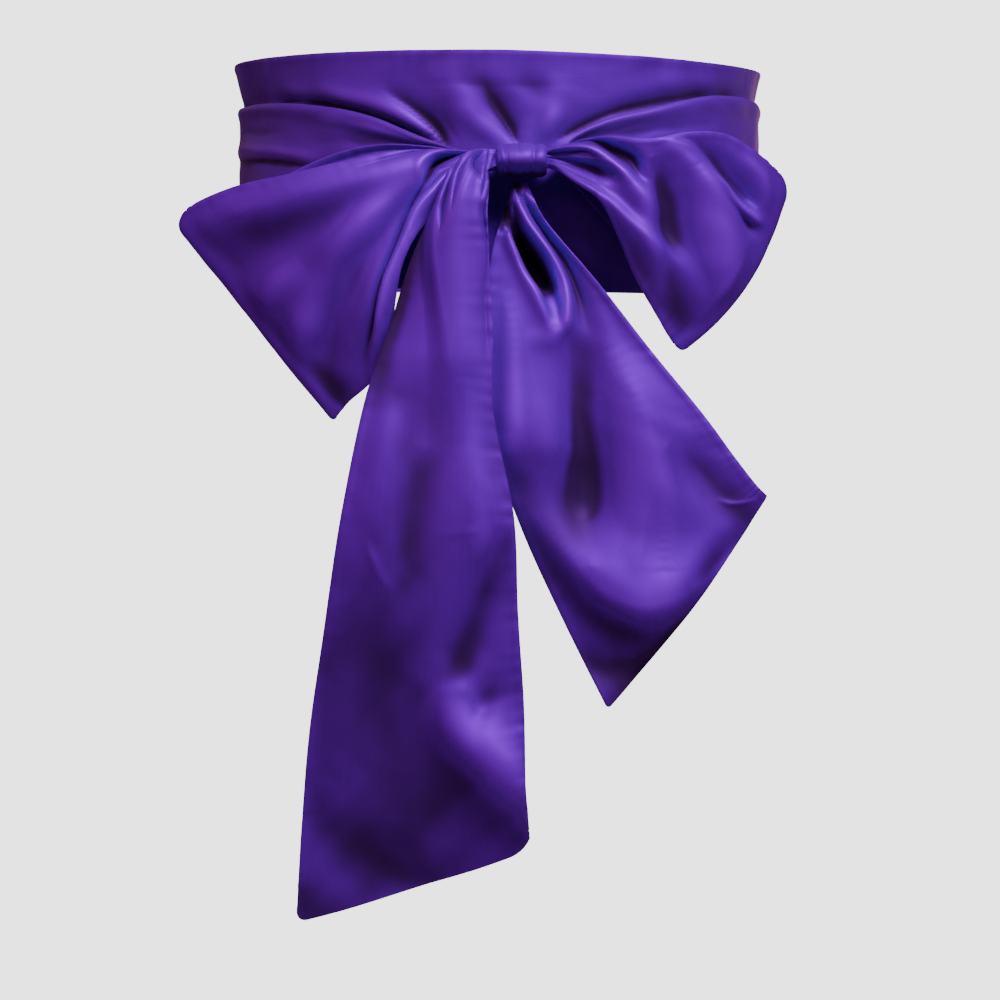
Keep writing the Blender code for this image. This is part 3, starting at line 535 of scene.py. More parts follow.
def crease_moves(creases, x, z, strength):
    """What the folds do to points seen from the front: their lift, and how far they lean in x and z.

    A step lifts everything on its right-hand side by its height, over its width, and lets go over its
    other width. Any other fold lifts by its height times profile(distance / width of that side).
    """
    shape = x.shape
    x, z = x.ravel(), z.ravel()
    lift = np.zeros(len(x))
    lean = np.zeros((len(x), 2))
    for fold in creases:
        reach = FOLD_REACH * fold.nodes[:, 2:4].max()
        low, high = fold.nodes[:, :2].min(0) - reach, fold.nodes[:, :2].max(0) + reach
        near = (x > low[0]) & (x < high[0]) & (z > low[1]) & (z < high[1])
        if not near.any():
            continue
        distance, side, left, values = nearest(fold.nodes, x[near], z[near])
        right_width, left_width = np.maximum(values[:, :2], LEAST_WIDTH).T
        if fold.kind == STEP:
            rise = smoothstep(0.5 - side * distance / (2.0 * right_width))
            gone = np.exp(-(np.maximum(-side * distance - right_width, 0.0) / left_width) ** 4)
            part = values[:, 2] * rise * gone
        else:
            width = right_width + (left_width - right_width) * (0.5 + 0.5 * side)
            part = values[:, 2] * profile(fold.kind, distance / width)
        lift[near] += strength * part
        lean[near] += strength * fold.lean * part[:, None] * left
    return lift.reshape(shape), lean[:, 0].reshape(shape), lean[:, 1].reshape(shape)


def toned(depth, painted_shading_and_sheen_tint, x, z, front):
    """Depth with the painted shade and highlight of the tone tables added on the front, kept from -1 to 2."""
    return np.clip(depth + front * crease_moves(painted_shading_and_sheen_tint, x, z, 1.0)[0], -1.0, 2.0)


# Over how many rows such a fold ends, and the least half width it may have, as a share.
END_FADE = 0.4
LEAST_SHARE = 0.01


def fold_lift(folds, row, across, strength):
    """The lift of folds given in the strip's own rows and shares across, by the same profiles."""
    lift = np.zeros(row.shape)
    for fold in folds:
        nodes = np.array(sorted(fold.nodes), float)
        first, last = nodes[0, 0], nodes[-1, 0]
        values = through(nodes[:, 0], nodes[:, 1:], np.clip(row, first, last).ravel())
        place, width, height = values.reshape(*row.shape, 3).transpose(2, 0, 1)
        inside = smoothstep((row - first) / END_FADE + 1.0) * smoothstep((last - row) / END_FADE + 1.0)
        off = (across - place) / np.maximum(width, LEAST_SHARE)
        lift += strength * height * inside * profile(fold.kind, off)
    return lift


# Pleats across a strip, and over how many mm they start.
PLEATS = 7
PLEATS_START = 6.0


def gathers(across, along, reach, height, seed):
    """Pleats that fan out from the knot: waves across the strip, of uneven width, whose height fades
    with the distance along the strip. height * fade * sum of three sines of a bent share across."""
    draw = np.random.RandomState(seed)
    bent = across + 0.03 * wave(across * 2.3 + draw.rand())
    pleat = np.zeros(across.shape)
    for share, size in ((0.55, 0.5), (1.0, 0.6), (1.63, 0.25)):
        pleat += size * wave(bent * PLEATS * share + draw.rand())
    return height * pleat * (1.0 - smoothstep(along / reach)) * smoothstep(along / PLEATS_START)


# The height of the faint waves as a share of their length.
HANDLING = 0.004


def handling(along, across_mm, seed):
    """The cloth's faint uneven waves: plane waves of random direction, 18 to 90 mm long, each as high as
    a set share of its length."""
    draw = np.random.RandomState(seed)
    lift = np.zeros(along.shape)
    for length in (18, 23, 29, 36, 44, 55, 70, 90):
        turn = draw.uniform(-0.9, 0.9)
        phase = 2 * np.pi * draw.rand(2)
        bend = 0.25 * np.sin(2 * np.pi * along / (2.7 * length) + phase[0])
        turns = (across_mm * np.cos(turn) + along * np.sin(turn)) / length + bend
        envelope = 0.5 + 0.5 * np.sin(2 * np.pi * (along / (4.1 * length) + across_mm / 97.0) + phase[1])
        lift += HANDLING * length * envelope * np.sin(2 * np.pi * turns + phase[1])
    return lift


# How far in from an edge its puckers reach, in mm.
PUCKER_REACH = 6.0


def pucker(along, from_edge, seed):
    """Small waves along a seamed edge, 7 to 14 mm long, which die out within a few millimetres of it."""
    draw = np.random.RandomState(seed)
    lift = np.zeros(along.shape)
    for length in (7.3, 9.7, 13.9):
        phase = 2 * np.pi * draw.rand(2)
        envelope = 0.5 + 0.5 * np.sin(2 * np.pi * along / (5.3 * length) + phase[1])
        lift += envelope * np.sin(2 * np.pi * along / length + phase[0])
    return lift / 1.6 * np.exp(-from_edge / PUCKER_REACH)


def even_out(values, passes, ring):
    """Averages each value with its neighbours, a quarter from each side and a half its own, many times
    over, along both directions of the grid."""
    ends = (-1, 0) if ring else (0, -1)
    for _ in range(passes):
        long = np.concatenate([values[[ends[0]]], values, values[[ends[1]]]])
        values = (long[:-2] + 2 * values + long[2:]) / 4.0
        wide = np.concatenate([values[:, :1], values, values[:, -1:]], axis=1)
        values = (wide[:, :-2] + 2 * values + wide[:, 2:]) / 4.0
    return values


NEAR_PASSES = 12
FAR_PASSES = 90


def hollows(lift, full_depth, ring=False):
    """How deep each point lies in a fold, the mask of painted shade and highlight: its evened out height
    less its own, over the full depth, at two reaches, and how far it is sunk at all; -1 on the crest of a
    ridge (painted highlight), 1 at the bottom of a hollow (painted shade), and up to 2 on the floor of a
    deep pocket (painted shadow)."""
    near = (even_out(lift, NEAR_PASSES, ring) - lift) / (0.5 * full_depth)
    far = (even_out(lift, FAR_PASSES, ring) - lift) / full_depth
    sunk = np.clip((-lift - full_depth) / (2.2 * full_depth), 0.0, 1.0)
    # The floor of a deep pocket, for its painted shadow.
    deep = smoothstep((-lift - 2.6 * full_depth) / (1.5 * full_depth))
    return np.clip(0.35 * near + 0.6 * far + 0.7 * sunk, -1.0, 1.0) + deep


def arc(points, axis):
    """Distance walked along the grid in one direction, from its first row or column."""
    step = np.linalg.norm(np.diff(points, axis=axis), axis=-1)
    zero = np.zeros_like(np.take(step, [0], axis=axis))
    return np.concatenate([zero, np.cumsum(step, axis=axis)], axis=axis)


def grid_normals(points, ring):
    """Unit normals of a grid: the slope along its rows crossed with the slope across them."""
    down = np.gradient(points, axis=0)
    if ring:
        closed = np.concatenate([points[-1:], points, points[:1]])
        down = (closed[2:] - closed[:-2]) / 2.0
    return unit(np.cross(down, np.gradient(points, axis=1)))


# Shares across a strip near its edge, and rows less than its last near a cut end: close, to round them.
EDGE_SHARES = np.array([0.0, 0.0007, 0.002, 0.0045, 0.009, 0.016])
END_ROWS = np.array([0.001, 0.003, 0.008, 0.016])


def across_places(columns):
    """Shares across a strip: even in the middle, and close together where the edge is rounded."""
    return np.concatenate([EDGE_SHARES, np.linspace(0.024, 0.976, columns - 12), 1.0 - EDGE_SHARES[::-1]])


def stand(name, data):
    """An object of its own for a mesh, a light or a camera, put in the scene."""
    piece = bpy.data.objects.new(name, data)
    bpy.context.scene.collection.objects.link(piece)
    return piece


# How far in from a seamed edge the cloth is thickest, and over what width, in mm.
ROLL_PLACE = 2.2
ROLL_WIDTH = 1.6


def shell(name, middle, depth, cloth, material, ring=False):
    """A closed wall of cloth round a grid of middle points.

    Both faces are middle +- normal * half thickness. At the borders the half thickness falls to nothing
    by a quarter circle, and both faces share the border's own points. Along the two seamed edges it is
    larger by a bell ROLL_PLACE in from the edge. Depth, how deep a point of the front lies in its fold
    with the painted shading added, is kept as the attribute "PaintedFoldShading", the mask of painted
    shade and highlight, with its sign turned on the back. The UV map is the place on the flat strip in
    metres.
    """
    rows, columns = middle.shape[:2]
    across, along = arc(middle, 1), arc(middle, 0)
    from_edge = np.minimum(across, across[:, -1:] - across)
    half = cloth.thickness / MM / 2.0
    size = half + cloth.edge_roll / MM / 2.0 * np.exp(-(((from_edge - ROLL_PLACE) / ROLL_WIDTH) ** 2))
    border = from_edge if ring else np.minimum(from_edge, np.minimum(along, along[-1:] - along))
    size = size * np.sqrt(1.0 - (1.0 - np.clip(border / half, 0.0, 1.0)) ** 2)
    out = grid_normals(middle, ring) * size[..., None]
    inside = np.zeros((rows, columns), bool)
    inside[slice(None) if ring else slice(1, -1), 1:-1] = True
    front = np.where(inside[..., None], middle + out, middle)
    points = np.concatenate([front.reshape(-1, 3), (middle - out)[inside]])
    index = np.arange(rows * columns).reshape(rows, columns)
    behind = index.copy()
    behind[inside] = rows * columns + np.arange(inside.sum())
    along = along.mean(1)
    if ring:
        index, behind = (np.vstack([grid, grid[:1]]) for grid in (index, behind))
        along = np.append(along, along[-1] + np.linalg.norm(middle[0] - middle[-1], axis=-1).mean())
    share = (across / across[:, -1:]).mean(0) * STRIP_WIDTH
    flat = np.stack(np.meshgrid(along * MM, share * MM, indexing="ij"), -1)
    first, second = slice(None, -1), slice(1, None)
    corners = [(first, first), (second, first), (second, second), (first, second)]
    faces = np.concatenate([
        np.stack([grid[corner].ravel() for corner in order], -1)
        for grid, order in ((index, corners), (behind, corners[::-1]))
    ])
    uv = np.stack([np.stack([flat[corner] for corner in order], 2) for order in (corners, corners[::-1])])
    mesh = bpy.data.meshes.new(name)
    mesh.vertices.add(len(points))
    mesh.vertices.foreach_set("co", (points * MM).astype(np.float32).ravel())
    mesh.loops.add(faces.size)
    mesh.loops.foreach_set("vertex_index", faces.astype(np.int32).ravel())
    mesh.polygons.add(len(faces))
    mesh.polygons.foreach_set("loop_start", np.arange(0, faces.size, 4, dtype=np.int32))
    mesh.update(calc_edges=True)
    painted_shading_layer = mesh.attributes.new("PaintedFoldShading", "FLOAT", "POINT")
    painted_shading_layer.data.foreach_set("value", np.concatenate([depth.ravel(), -depth[inside]]).astype(np.float32))
    mesh.uv_layers.new(name="ClothUV").data.foreach_set("uv", uv.astype(np.float32).ravel())
    mesh.materials.append(material)
    mesh.shade_smooth()
    if mesh.validate():
        raise RuntimeError(f"{name}: the mesh had bad faces")
    return stand(name, mesh)


# How many rows before a loop's turn its front ends, and over how many rows it fades.
TURN_ROWS = 0.4
FADE_ROWS = 0.6
# Over how many rows the round corners of its tip die out.
CORNER_ROWS = 0.8
# The full depth of a fold in each stretch, in mm, at which its painted shade is full.
BOW_DEPTH = 3.2
BAND_DEPTH = 3.0
TURN_DEPTH = 2.0
KNOT_DEPTH = 4.0


def strip(cloth, sections, creases, painted_shading_and_sheen_tint, folds, row, seed, corners, gather, gather_reach=55.0, columns=120,
          puckers=(1.0, 1.0), outward=1, turn_row=0):
    """A strip's middle points, and how deep they lie in their folds, the mask of painted shade and highlight.

    A point is on the line between its section's edges, moved along the sheet by ahead, and along the
    sheet's normal by belly * 4 a (1 - a), by the folds, the gathers, the faint waves and the puckers.
    On a tail, corners are the radii of the free end's corners, which pull its last row back by a quarter
    circle. On a loop they round the corners of the row where it turns, turn_row, and die out within a row
    of it, and the folds and the painted shade and highlight of the front view act on the rows before it only.
    """
    across = across_places(columns)[None, :]
    sections = np.array(sections, float)
    edges = sections[:, :6].reshape(-1, 2, 3)
    last = len(sections) - 1
    row = row[:, None] + np.zeros_like(across)
    end_width = np.linalg.norm(edges[-1, 0] - edges[-1, 1])
    end_length = np.linalg.norm(edges[-1, 0] - edges[-2, 0])
    for radius, distance in zip(corners, (across * end_width, (1.0 - across) * end_width)):
        if not turn_row:
            inside = np.clip(1.0 - distance / radius, 0.0, 1.0)
            pull = radius / end_length * (1.0 - np.sqrt(1.0 - inside**2))
            row = row - pull * smoothstep(row - last + 1.0)
    table = through(np.arange(last + 1.0), sections, row.ravel()).reshape(*row.shape, -1)
    upper, lower = table[..., 0:3], table[..., 3:6]
    flat = upper + (lower - upper) * across[..., None]
    along_sheet = unit(np.gradient(flat, axis=0))
    normal = unit(np.cross(along_sheet, lower - upper)) * outward
    arch = (4 * across * (1 - across))[..., None]
    base = flat + normal * table[..., 6:7] * arch + along_sheet * table[..., 7:8] * arch
    across = across + np.zeros_like(row)
    front = np.ones_like(row)
    if turn_row:
        front = 1.0 - smoothstep((row - (turn_row - TURN_ROWS) + FADE_ROWS) / FADE_ROWS)
        tip, near_tip = edges[turn_row], edges[turn_row - 2]
        turn_width = np.linalg.norm(tip[1] - tip[0])
        for end, radius in enumerate(corners):
            distance = turn_width * (across if end == 0 else 1.0 - across)
            inside = np.clip(1.0 - distance / radius, 0.0, 1.0)
            near_tip_row = np.exp(-(((row - turn_row) / CORNER_ROWS) ** 2))
            pull = radius * (1.0 - np.sqrt(1.0 - inside**2)) * near_tip_row
            base = base + unit(near_tip[end] - tip[end]) * pull[..., None]
    along = arc(base, 0).mean(1, keepdims=True) + np.zeros_like(row)
    width = arc(base, 1)
    lift, lean_x, lean_z = crease_moves(creases, base[..., 0], base[..., 2], cloth.fold_strength)
    lift = lift * front
    lift += fold_lift(folds, row, across, cloth.fold_strength)
    lift += gathers(across, along, gather_reach, gather, seed)
    if turn_row:
        lift += gathers(across, along.max() - along, gather_reach, gather, seed + 7)
    room = smoothstep(1.25 * width[:, -1:] / STRIP_WIDTH - 0.25)
    lift += handling(along, across * STRIP_WIDTH, seed + 1) * room
    size = cloth.pucker / MM
    lift += size * puckers[0] * pucker(along, width, seed + 2)
    lift += size * puckers[1] * pucker(along, width[:, -1:] - width, seed + 3)
    points = base + normal * lift[..., None]
    points[..., 0] += lean_x * front
    points[..., 2] += lean_z * front
    # Fold depth with the painted shading tables added: the mask of painted shade and highlight.
    return points, outward * toned(hollows(lift, BOW_DEPTH), painted_shading_and_sheen_tint, base[..., 0], base[..., 2], front)


# Waist, to the middle of the first turn's wall
WAIST_HALF_WIDTH = 140.6
WAIST_HALF_DEPTH = 99.5
WAIST_MEAN_RADIUS = 120.0
FLARE_STARTS = 43.0
FLARE_HEIGHT = 20.0
FLARE_LEFT = 5.6
FLARE_RIGHT = 4.0
TAPER_HEIGHT = 62.0
TAPER = 8.0


def waist_points(angle, height, out):
    """Points round the waist: on the ellipse, moved out along its normal. At the sides the cloth flares in
    a straight line above FLARE_STARTS, and below the middle it tapers in by the square of the drop."""
    turn = np.radians(angle)
    side = np.sin(turn)
    flare = np.where(side < 0, FLARE_LEFT, FLARE_RIGHT)
    lift = np.maximum(height - FLARE_STARTS, 0.0)
    out = out + flare * side**2 * lift / FLARE_HEIGHT
    out = out - TAPER * side**2 * (np.maximum(-height, 0.0) / TAPER_HEIGHT) ** 2
    normal = unit(np.stack([side / WAIST_HALF_WIDTH, -np.cos(turn) / WAIST_HALF_DEPTH], -1))
    x = WAIST_HALF_WIDTH * side + out * normal[..., 0]
    y = -WAIST_HALF_DEPTH * np.cos(turn) + out * normal[..., 1]
    return np.stack([x, y, height], -1)


def waist_angles(first, last, count):
    """Angles round the waist, twice as close together at the front as at the back."""
    even = np.linspace(first, last, 4 * count)
    density = 1.0 + 1.2 * np.exp(-((even / 60.0) ** 2))
    walked = np.concatenate([[0.0], np.cumsum((density[1:] + density[:-1]) / 2.0)])
    return np.interp(np.linspace(0.0, walked[-1], count), walked, even)


# Rows and columns of the grids round the waist and of the knot's.
BAND_GRID = (520, 70)
TURN_GRID = (330, 76)
KNOT_GRID = (121, 84)
# Heights of the faint waves of the first and the second turn, in mm.
BAND_WAVES = 0.25
TURN_WAVES = 0.18
# How far from the back the first turn's puckers die out, in degrees.
BACK_FADE = 20


def band_middle(cloth):
    """The first turn: between its rims, moved out by the folds of the front, by faint waves and by the
    puckers of its edges, which die out at the back where it closes."""
    angle = waist_angles(-180.0, 180.0, BAND_GRID[0])[:-1]
    table = np.array(BAND_RIM, float)
    rim = through(table[:, 0], table[:, 1:], angle % 360)
    share = across_places(BAND_GRID[1])[None, :]
    height = rim[:, 0:1] + (rim[:, 1:2] - rim[:, 0:1]) * share
    angle = angle[:, None] + np.zeros_like(height)
    turn = np.radians(angle)
    front = np.cos(turn) > 0
    x = WAIST_HALF_WIDTH * np.sin(turn)
    out = crease_moves(BAND_CREASES, x, height, cloth.fold_strength)[0] * front
    out += ring_waves(turn, height, BAND_WAVES, 31)
    for seed, across in ((32, share), (33, 1 - share)):
        size = cloth.pucker / MM * pucker(turn * WAIST_MEAN_RADIUS, (across + 0 * height) * STRIP_WIDTH, seed)
        out += size * smoothstep((180 - np.abs(angle)) / BACK_FADE)
    # Fold depth with the band's painted shading table: the mask of painted shade and highlight.
    depth = toned(hollows(out, BAND_DEPTH, True), BAND_PAINTED_SHADING, x, height, front)
    return waist_points(angle, height, out), -depth


def ring_waves(turn, height, size, seed):
    """Faint uneven waves that close round the waist: sines of whole numbers of turns and of height."""
    draw = np.random.RandomState(seed)
    lift = np.zeros(turn.shape)
    for count, tall in ((7, 90), (11, 60), (16, 45), (23, 38), (31, 30)):
        phase = 2 * np.pi * draw.rand(2)
        lift += size * np.sin(count * turn + phase[0] + 1.2 * np.sin(2 * np.pi * height / tall + phase[1]))
    return lift * np.sin(2 * np.pi * height / 170.0 + 3 * turn)


# How far out of the waist the second turn's folds are placed, how much further out it stands, so that the
# first turn's waves stay under it, how high the roll of its upper edge is, and how far its folds may sink.
TURN_OUT = 2
TURN_CLEARANCE = 0.7
TURN_ROLL = 0.9
TURN_SINK = -0.6


def turn_middle(rows, creases, folds, cloth, seed):
    """A second turn: its rows' heights and stand-off, moved out by its folds and never into the first,
    and its fold depth as the mask of painted shade and highlight.
    """
    rows = np.array(rows, float)
    angle = waist_angles(rows[0, 0], rows[-1, 0], TURN_GRID[0])
    table = through(rows[:, 0], rows[:, 1:], angle)
    share = across_places(TURN_GRID[1])[None, :]
    height = table[:, 0:1] + (table[:, 1:2] - table[:, 0:1]) * share
    index = np.interp(angle, rows[:, 0], np.arange(len(rows)))[:, None] + np.zeros_like(height)
    angle = angle[:, None] + np.zeros_like(height)
    share = share + np.zeros_like(height)
    turn = np.radians(angle)
    x = (WAIST_HALF_WIDTH + TURN_OUT) * np.sin(turn)
    lift = crease_moves(creases, x, height, cloth.fold_strength)[0] * (np.cos(turn) > 0)
    lift += fold_lift(folds, index, share, cloth.fold_strength)
    lift += ring_waves(turn, height, TURN_WAVES, seed)
    roll = TURN_ROLL * np.exp(-((share - 0.03) / 0.03) ** 2)
    out = table[:, 2:3] + TURN_CLEARANCE + np.maximum(lift + roll, TURN_SINK)
    # The fold depth is the mask of painted shade and highlight.
    return waist_points(angle, height, out), -hollows(lift, TURN_DEPTH)


# Knot, the wrap that holds the bow
KNOT_LEFT = -1.0
KNOT_RIGHT = 25.0
KNOT_HALF_DEPTH = 15.0
KNOT_HALF_HEIGHT = 8.4
KNOT_CENTRE_Y = -118.5
KNOT_CENTRE_Z = 3.6
KNOT_TUCK = 4.5
KNOT_SLANT = 0.05
# The wrap's size along its length, from its left end (0) to its right end (1).
KNOT_GIRTH = np.array([
    (0.0, 0.76), (0.03, 0.86), (0.08, 0.93), (0.15, 0.975), (0.25, 1.0), (0.35, 1.02), (0.46, 1.035),
    (0.58, 1.02), (0.67, 0.98), (0.715, 0.93), (0.745, 0.92), (0.79, 0.95), (0.86, 0.96), (0.92, 0.92),
    (0.965, 0.85), (1.0, 0.76),
])
# Furrows of the wrap: place along it, angle round it from the front (down is 90), half widths, depth.
KNOT_FURROWS = [
    (0.24, 40, 0.045, 34, 0.045), (0.42, -55, 0.060, 40, 0.03), (0.56, 60, 0.070, 40, 0.03),
    (0.13, -40, 0.030, 50, 0.03), (0.35, 110, 0.04, 40, 0.06), (0.62, 190, 0.04, 60, 0.05),
    (0.30, 230, 0.04, 60, 0.05), (0.09, 15, 0.03, 55, 0.03), (0.20, -20, 0.032, 45, 0.018),
]


def knot_middle():
    """The wrap: a tube along X. Its size follows KNOT_GIRTH, less the bells of KNOT_FURROWS, and its
    lower half is tucked back by the square of the drop. Its underside and its hollows get painted shade."""
    turn = np.linspace(-180.0, 180.0, KNOT_GRID[0])[:-1][:, None]
    place = across_places(KNOT_GRID[1])[None, :]
    slant = place + KNOT_SLANT * np.sin(np.radians(turn)) * np.sin(np.pi * place)
    size = through(KNOT_GIRTH[:, 0], KNOT_GIRTH[:, 1:], np.clip(slant, 0, 1).ravel()).reshape(slant.shape)
    for at, angle, wide, tall, depth in KNOT_FURROWS:
        round_off = (turn - angle + 180.0) % 360.0 - 180.0
        drift = at + KNOT_SLANT * np.sin(np.radians(round_off))
        size = size - depth * np.exp(-(((place - drift) / wide) ** 2) - (round_off / tall) ** 2)
    turn = np.radians(turn)
    x = KNOT_LEFT + (KNOT_RIGHT - KNOT_LEFT) * place + 0 * turn
    y = KNOT_CENTRE_Y - KNOT_HALF_DEPTH * size * np.cos(turn) + KNOT_TUCK * np.maximum(np.sin(turn), 0.0) ** 2
    z = KNOT_CENTRE_Z - KNOT_HALF_HEIGHT * size * np.sin(turn)
    # Painted shade on the lower front of the wrap, where it turns under.
    under = smoothstep((np.sin(turn) - 0.55) / 0.45) * smoothstep(np.cos(turn) + 0.6)
    depth = np.clip(hollows(size * KNOT_HALF_DEPTH, KNOT_DEPTH, True) + under, -1.0, 1.0)
    return np.stack([x, y, z], -1), depth


def feed(node, sockets):
    """Gives a node's sockets, by name or number, a value or a link from another node's socket."""
    for key, value in sockets.items():
        if isinstance(value, bpy.types.NodeSocket):
            node.id_data.links.new(value, node.inputs[key])
        else:
            node.inputs[key].default_value = value


def add(tree, kind, sockets, **settings):
    """A new shader node with its sockets fed and its settings made."""
    node = tree.nodes.new("ShaderNode" + kind)
    for name, value in settings.items():
        setattr(node, name, value)
    feed(node, sockets)
    return node


def new_group(name, inputs, outputs):
    """A node group with its sockets, each a name and the kind of its value, and its two end nodes."""
    group = bpy.data.node_groups.new(name, "ShaderNodeTree")
    for side, sockets in (("INPUT", inputs), ("OUTPUT", outputs)):
        for socket, kind in sockets:
            group.interface.new_socket(socket, in_out=side, socket_type="NodeSocket" + kind)
    return group, group.nodes.new("NodeGroupInput"), group.nodes.new("NodeGroupOutput")


def noise(tree, place, scale, detail, roughness):
    """Noise read at a place."""
    return add(
        tree, "TexNoise", {"Vector": place, "Scale": scale, "Detail": detail, "Roughness": roughness}
    ).outputs["Fac"]


YARN_WIDTH = 0.00035


def satin_weave_group():
    """Height of the satin's weave: fine long floats along the strip and slubs, from the cloth's UV map in
    metres, and a mask of where the yarn lies thicker."""
    group, enter, leave = new_group(
        "SatinWeave", [("Yarn Width", "Float")], [("Height", "Float"), ("Slub", "Float")]
    )
    group.interface.items_tree["Yarn Width"].default_value = YARN_WIDTH
    uv = add(group, "UVMap", {}, uv_map="ClothUV").outputs["UV"]
    turns = add(group, "Math", {0: 1.0, 1: enter.outputs["Yarn Width"]}, operation="DIVIDE")
    spread = add(group, "VectorMath", {0: uv, "Scale": turns.outputs[0]}, operation="SCALE")
    stretch = add(group, "Mapping", {"Vector": spread.outputs[0], "Scale": (0.09, 1.0, 1.0)})
    floats = noise(group, stretch.outputs[0], 1.0, 2.0, 0.6)
    long = add(group, "Mapping", {"Vector": uv, "Scale": (22.0, 900.0, 1.0)})
    slub = noise(group, long.outputs[0], 1.0, 3.0, 0.55)
    height = add(group, "Math", {0: slub, 1: 0.5, 2: floats}, operation="MULTIPLY_ADD")
    feed(leave, {"Height": height.outputs[0], "Slub": slub})
    return group


def satin_tone_group():
    """The satin's colour and roughness. Noise on Object coordinates and the weave's slubs mix the shade
    and the dye, PaintedFoldShading mixes in painted shade over 0, a painted pocket shadow over 1.05 and a
    painted highlight under 0, and the noise alone sets the roughness."""
    colours = [(name, "Color") for name in ("Colour", "Shade", "PaintedHollowShade", "PaintedCrestHighlight", "PaintedPocketShadow")]
    group, enter, leave = new_group(
        "SatinTone", [*colours, ("Slub", "Float")], [("Colour", "Color"), ("Roughness", "Float")]
    )
    cloud = noise(group, add(group, "TexCoord", {}).outputs["Object"], 14.0, 3.0, 0.5)
    slubs = add(group, "Math", {0: enter.outputs["Slub"], 1: 0.35, 2: cloud}, operation="MULTIPLY_ADD")
    depth = add(group, "Attribute", {}, attribute_name="PaintedFoldShading").outputs["Fac"]
    colour = enter.outputs["Shade"]
    # Painted shade in hollows, painted shadow in deep pockets, painted highlight on crests.
    for over, value, low, high, curve in (
        ("Colour", slubs.outputs[0], 0.45, 0.9, "LINEAR"),
        ("PaintedHollowShade", depth, 0.08, 0.85, "SMOOTHSTEP"),
        ("PaintedPocketShadow", depth, 1.05, 1.8, "LINEAR"),
        ("PaintedCrestHighlight", depth, -0.1, -0.9, "LINEAR"),
    ):
        share = add(group, "MapRange", {"Value": value, "From Min": low, "From Max": high},
                    clamp=True, interpolation_type=curve)
        mix = add(group, "Mix", {0: share.outputs[0], 6: colour, 7: enter.outputs[over]}, data_type="RGBA")
        colour = mix.outputs[2]
    rough = add(group, "MapRange", {"Value": cloud, "To Min": 0.52, "To Max": 0.62}, clamp=True)
    feed(leave, {"Colour": colour, "Roughness": rough.outputs[0]})
    return group


def satin(name, cloth, dye, sheen, painted_shading_and_sheen_tint):
    """Satin, made once: the tone group gives colour and roughness, the weave group a fine bump. Dye
    multiplies the cloth's colours, below 1 as painted shade; sheen is the sheen layer's weight and
    painted_shading_and_sheen_tint its tint."""
    if name in bpy.data.materials:
        return bpy.data.materials[name]
    material = bpy.data.materials.new(name)
    material.use_nodes = True
    tree = material.node_tree
    groups = bpy.data.node_groups
    weave = add(tree, "Group", {}, node_tree=groups.get("SatinWeave") or satin_weave_group())
    tone = add(tree, "Group", {}, node_tree=groups.get("SatinTone") or satin_tone_group())
    feed(tone, {"Slub": weave.outputs["Slub"]})
    for socket, colour in (("Colour", cloth.satin_colour), ("Shade", cloth.shade_colour),
                           ("PaintedHollowShade", cloth.painted_hollow_shade_colour), ("PaintedCrestHighlight", cloth.painted_crest_highlight_colour),
                           ("PaintedPocketShadow", cloth.painted_pocket_shadow_colour)):
        tone.inputs[socket].default_value = (*(dye * part for part in colour[:3]), 1.0)
    bump = add(tree, "Bump", {"Strength": 0.12, "Distance": 0.0001, "Height": weave.outputs["Height"]})
    feed(tree.nodes["Principled BSDF"], {
        "Base Color": tone.outputs["Colour"], "Roughness": tone.outputs["Roughness"],
        "Normal": bump.outputs["Normal"], "Metallic": 0.5, "IOR": 1.45, "Specular IOR Level": 0.1,
        "Specular Tint": (0.75, 0.0, 1.0, 1.0), "Sheen Weight": sheen, "Sheen Roughness": 0.45,
        "Sheen Tint": painted_shading_and_sheen_tint,
    })
    return material


def band_satin(cloth):
    """The satin of the band: the bow's, with its colours darkened to 0.82 as painted shade, and more sheen.
    """
    return satin("purple_satin_band", cloth, 0.82, 0.45, (0.7, 0.28, 0.5, 1.0))


def bow_satin(cloth):
    """The satin of the bow."""
    return satin("purple_satin_bow", cloth, 1.0, 0.12, (0.6, 0.08, 0.7, 1.0))


def finish_sheet(piece, node):
    """Ties a piece to its body and hides the CAD node it stands for."""
    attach(piece, BODY)
    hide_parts(node)


class SASH_OT_band(bpy.types.Operator):
    """Builds the first turn, which goes all round the waist"""

    bl_idname = "sash.band"
    bl_label = "First Turn"

    def execute(self, context):
        cloth = context.scene.sash_cloth
        piece = shell("satin_first_turn", *band_middle(cloth), cloth, band_satin(cloth), ring=True)
        finish_sheet(piece, "band_first_turn")
        return {"FINISHED"}


class SASH_OT_turns(bpy.types.Operator):
    """Builds the second turn's two halves, which cross at the back and run to the knot"""

    bl_idname = "sash.turns"
    bl_label = "Second Turn"

    def execute(self, context):
        cloth = context.scene.sash_cloth
        for name, node, length, area, seed, tables in (
            ("satin_second_turn_left", "band_second_turn_left", 0.44, 0.044, 41,
             (LEFT_TURN, LEFT_TURN_CREASES, LEFT_TURN_FOLDS)),
            ("satin_second_turn_right", "band_second_turn_right", 0.42, 0.041, 43,
             (RIGHT_TURN, RIGHT_TURN_CREASES, RIGHT_TURN_FOLDS)),
        ):
            piece = shell(name, *turn_middle(*tables, cloth, seed), cloth, band_satin(cloth))
            finish_sheet(piece, node)
        return {"FINISHED"}


# The loops' rows, the row of their tips, and the height of the pleats at the knot, in mm.
LOOP_ROWS = 302
TIP_ROW = 8
LOOP_GATHER = 0.5
TAIL_GATHER = 0.05


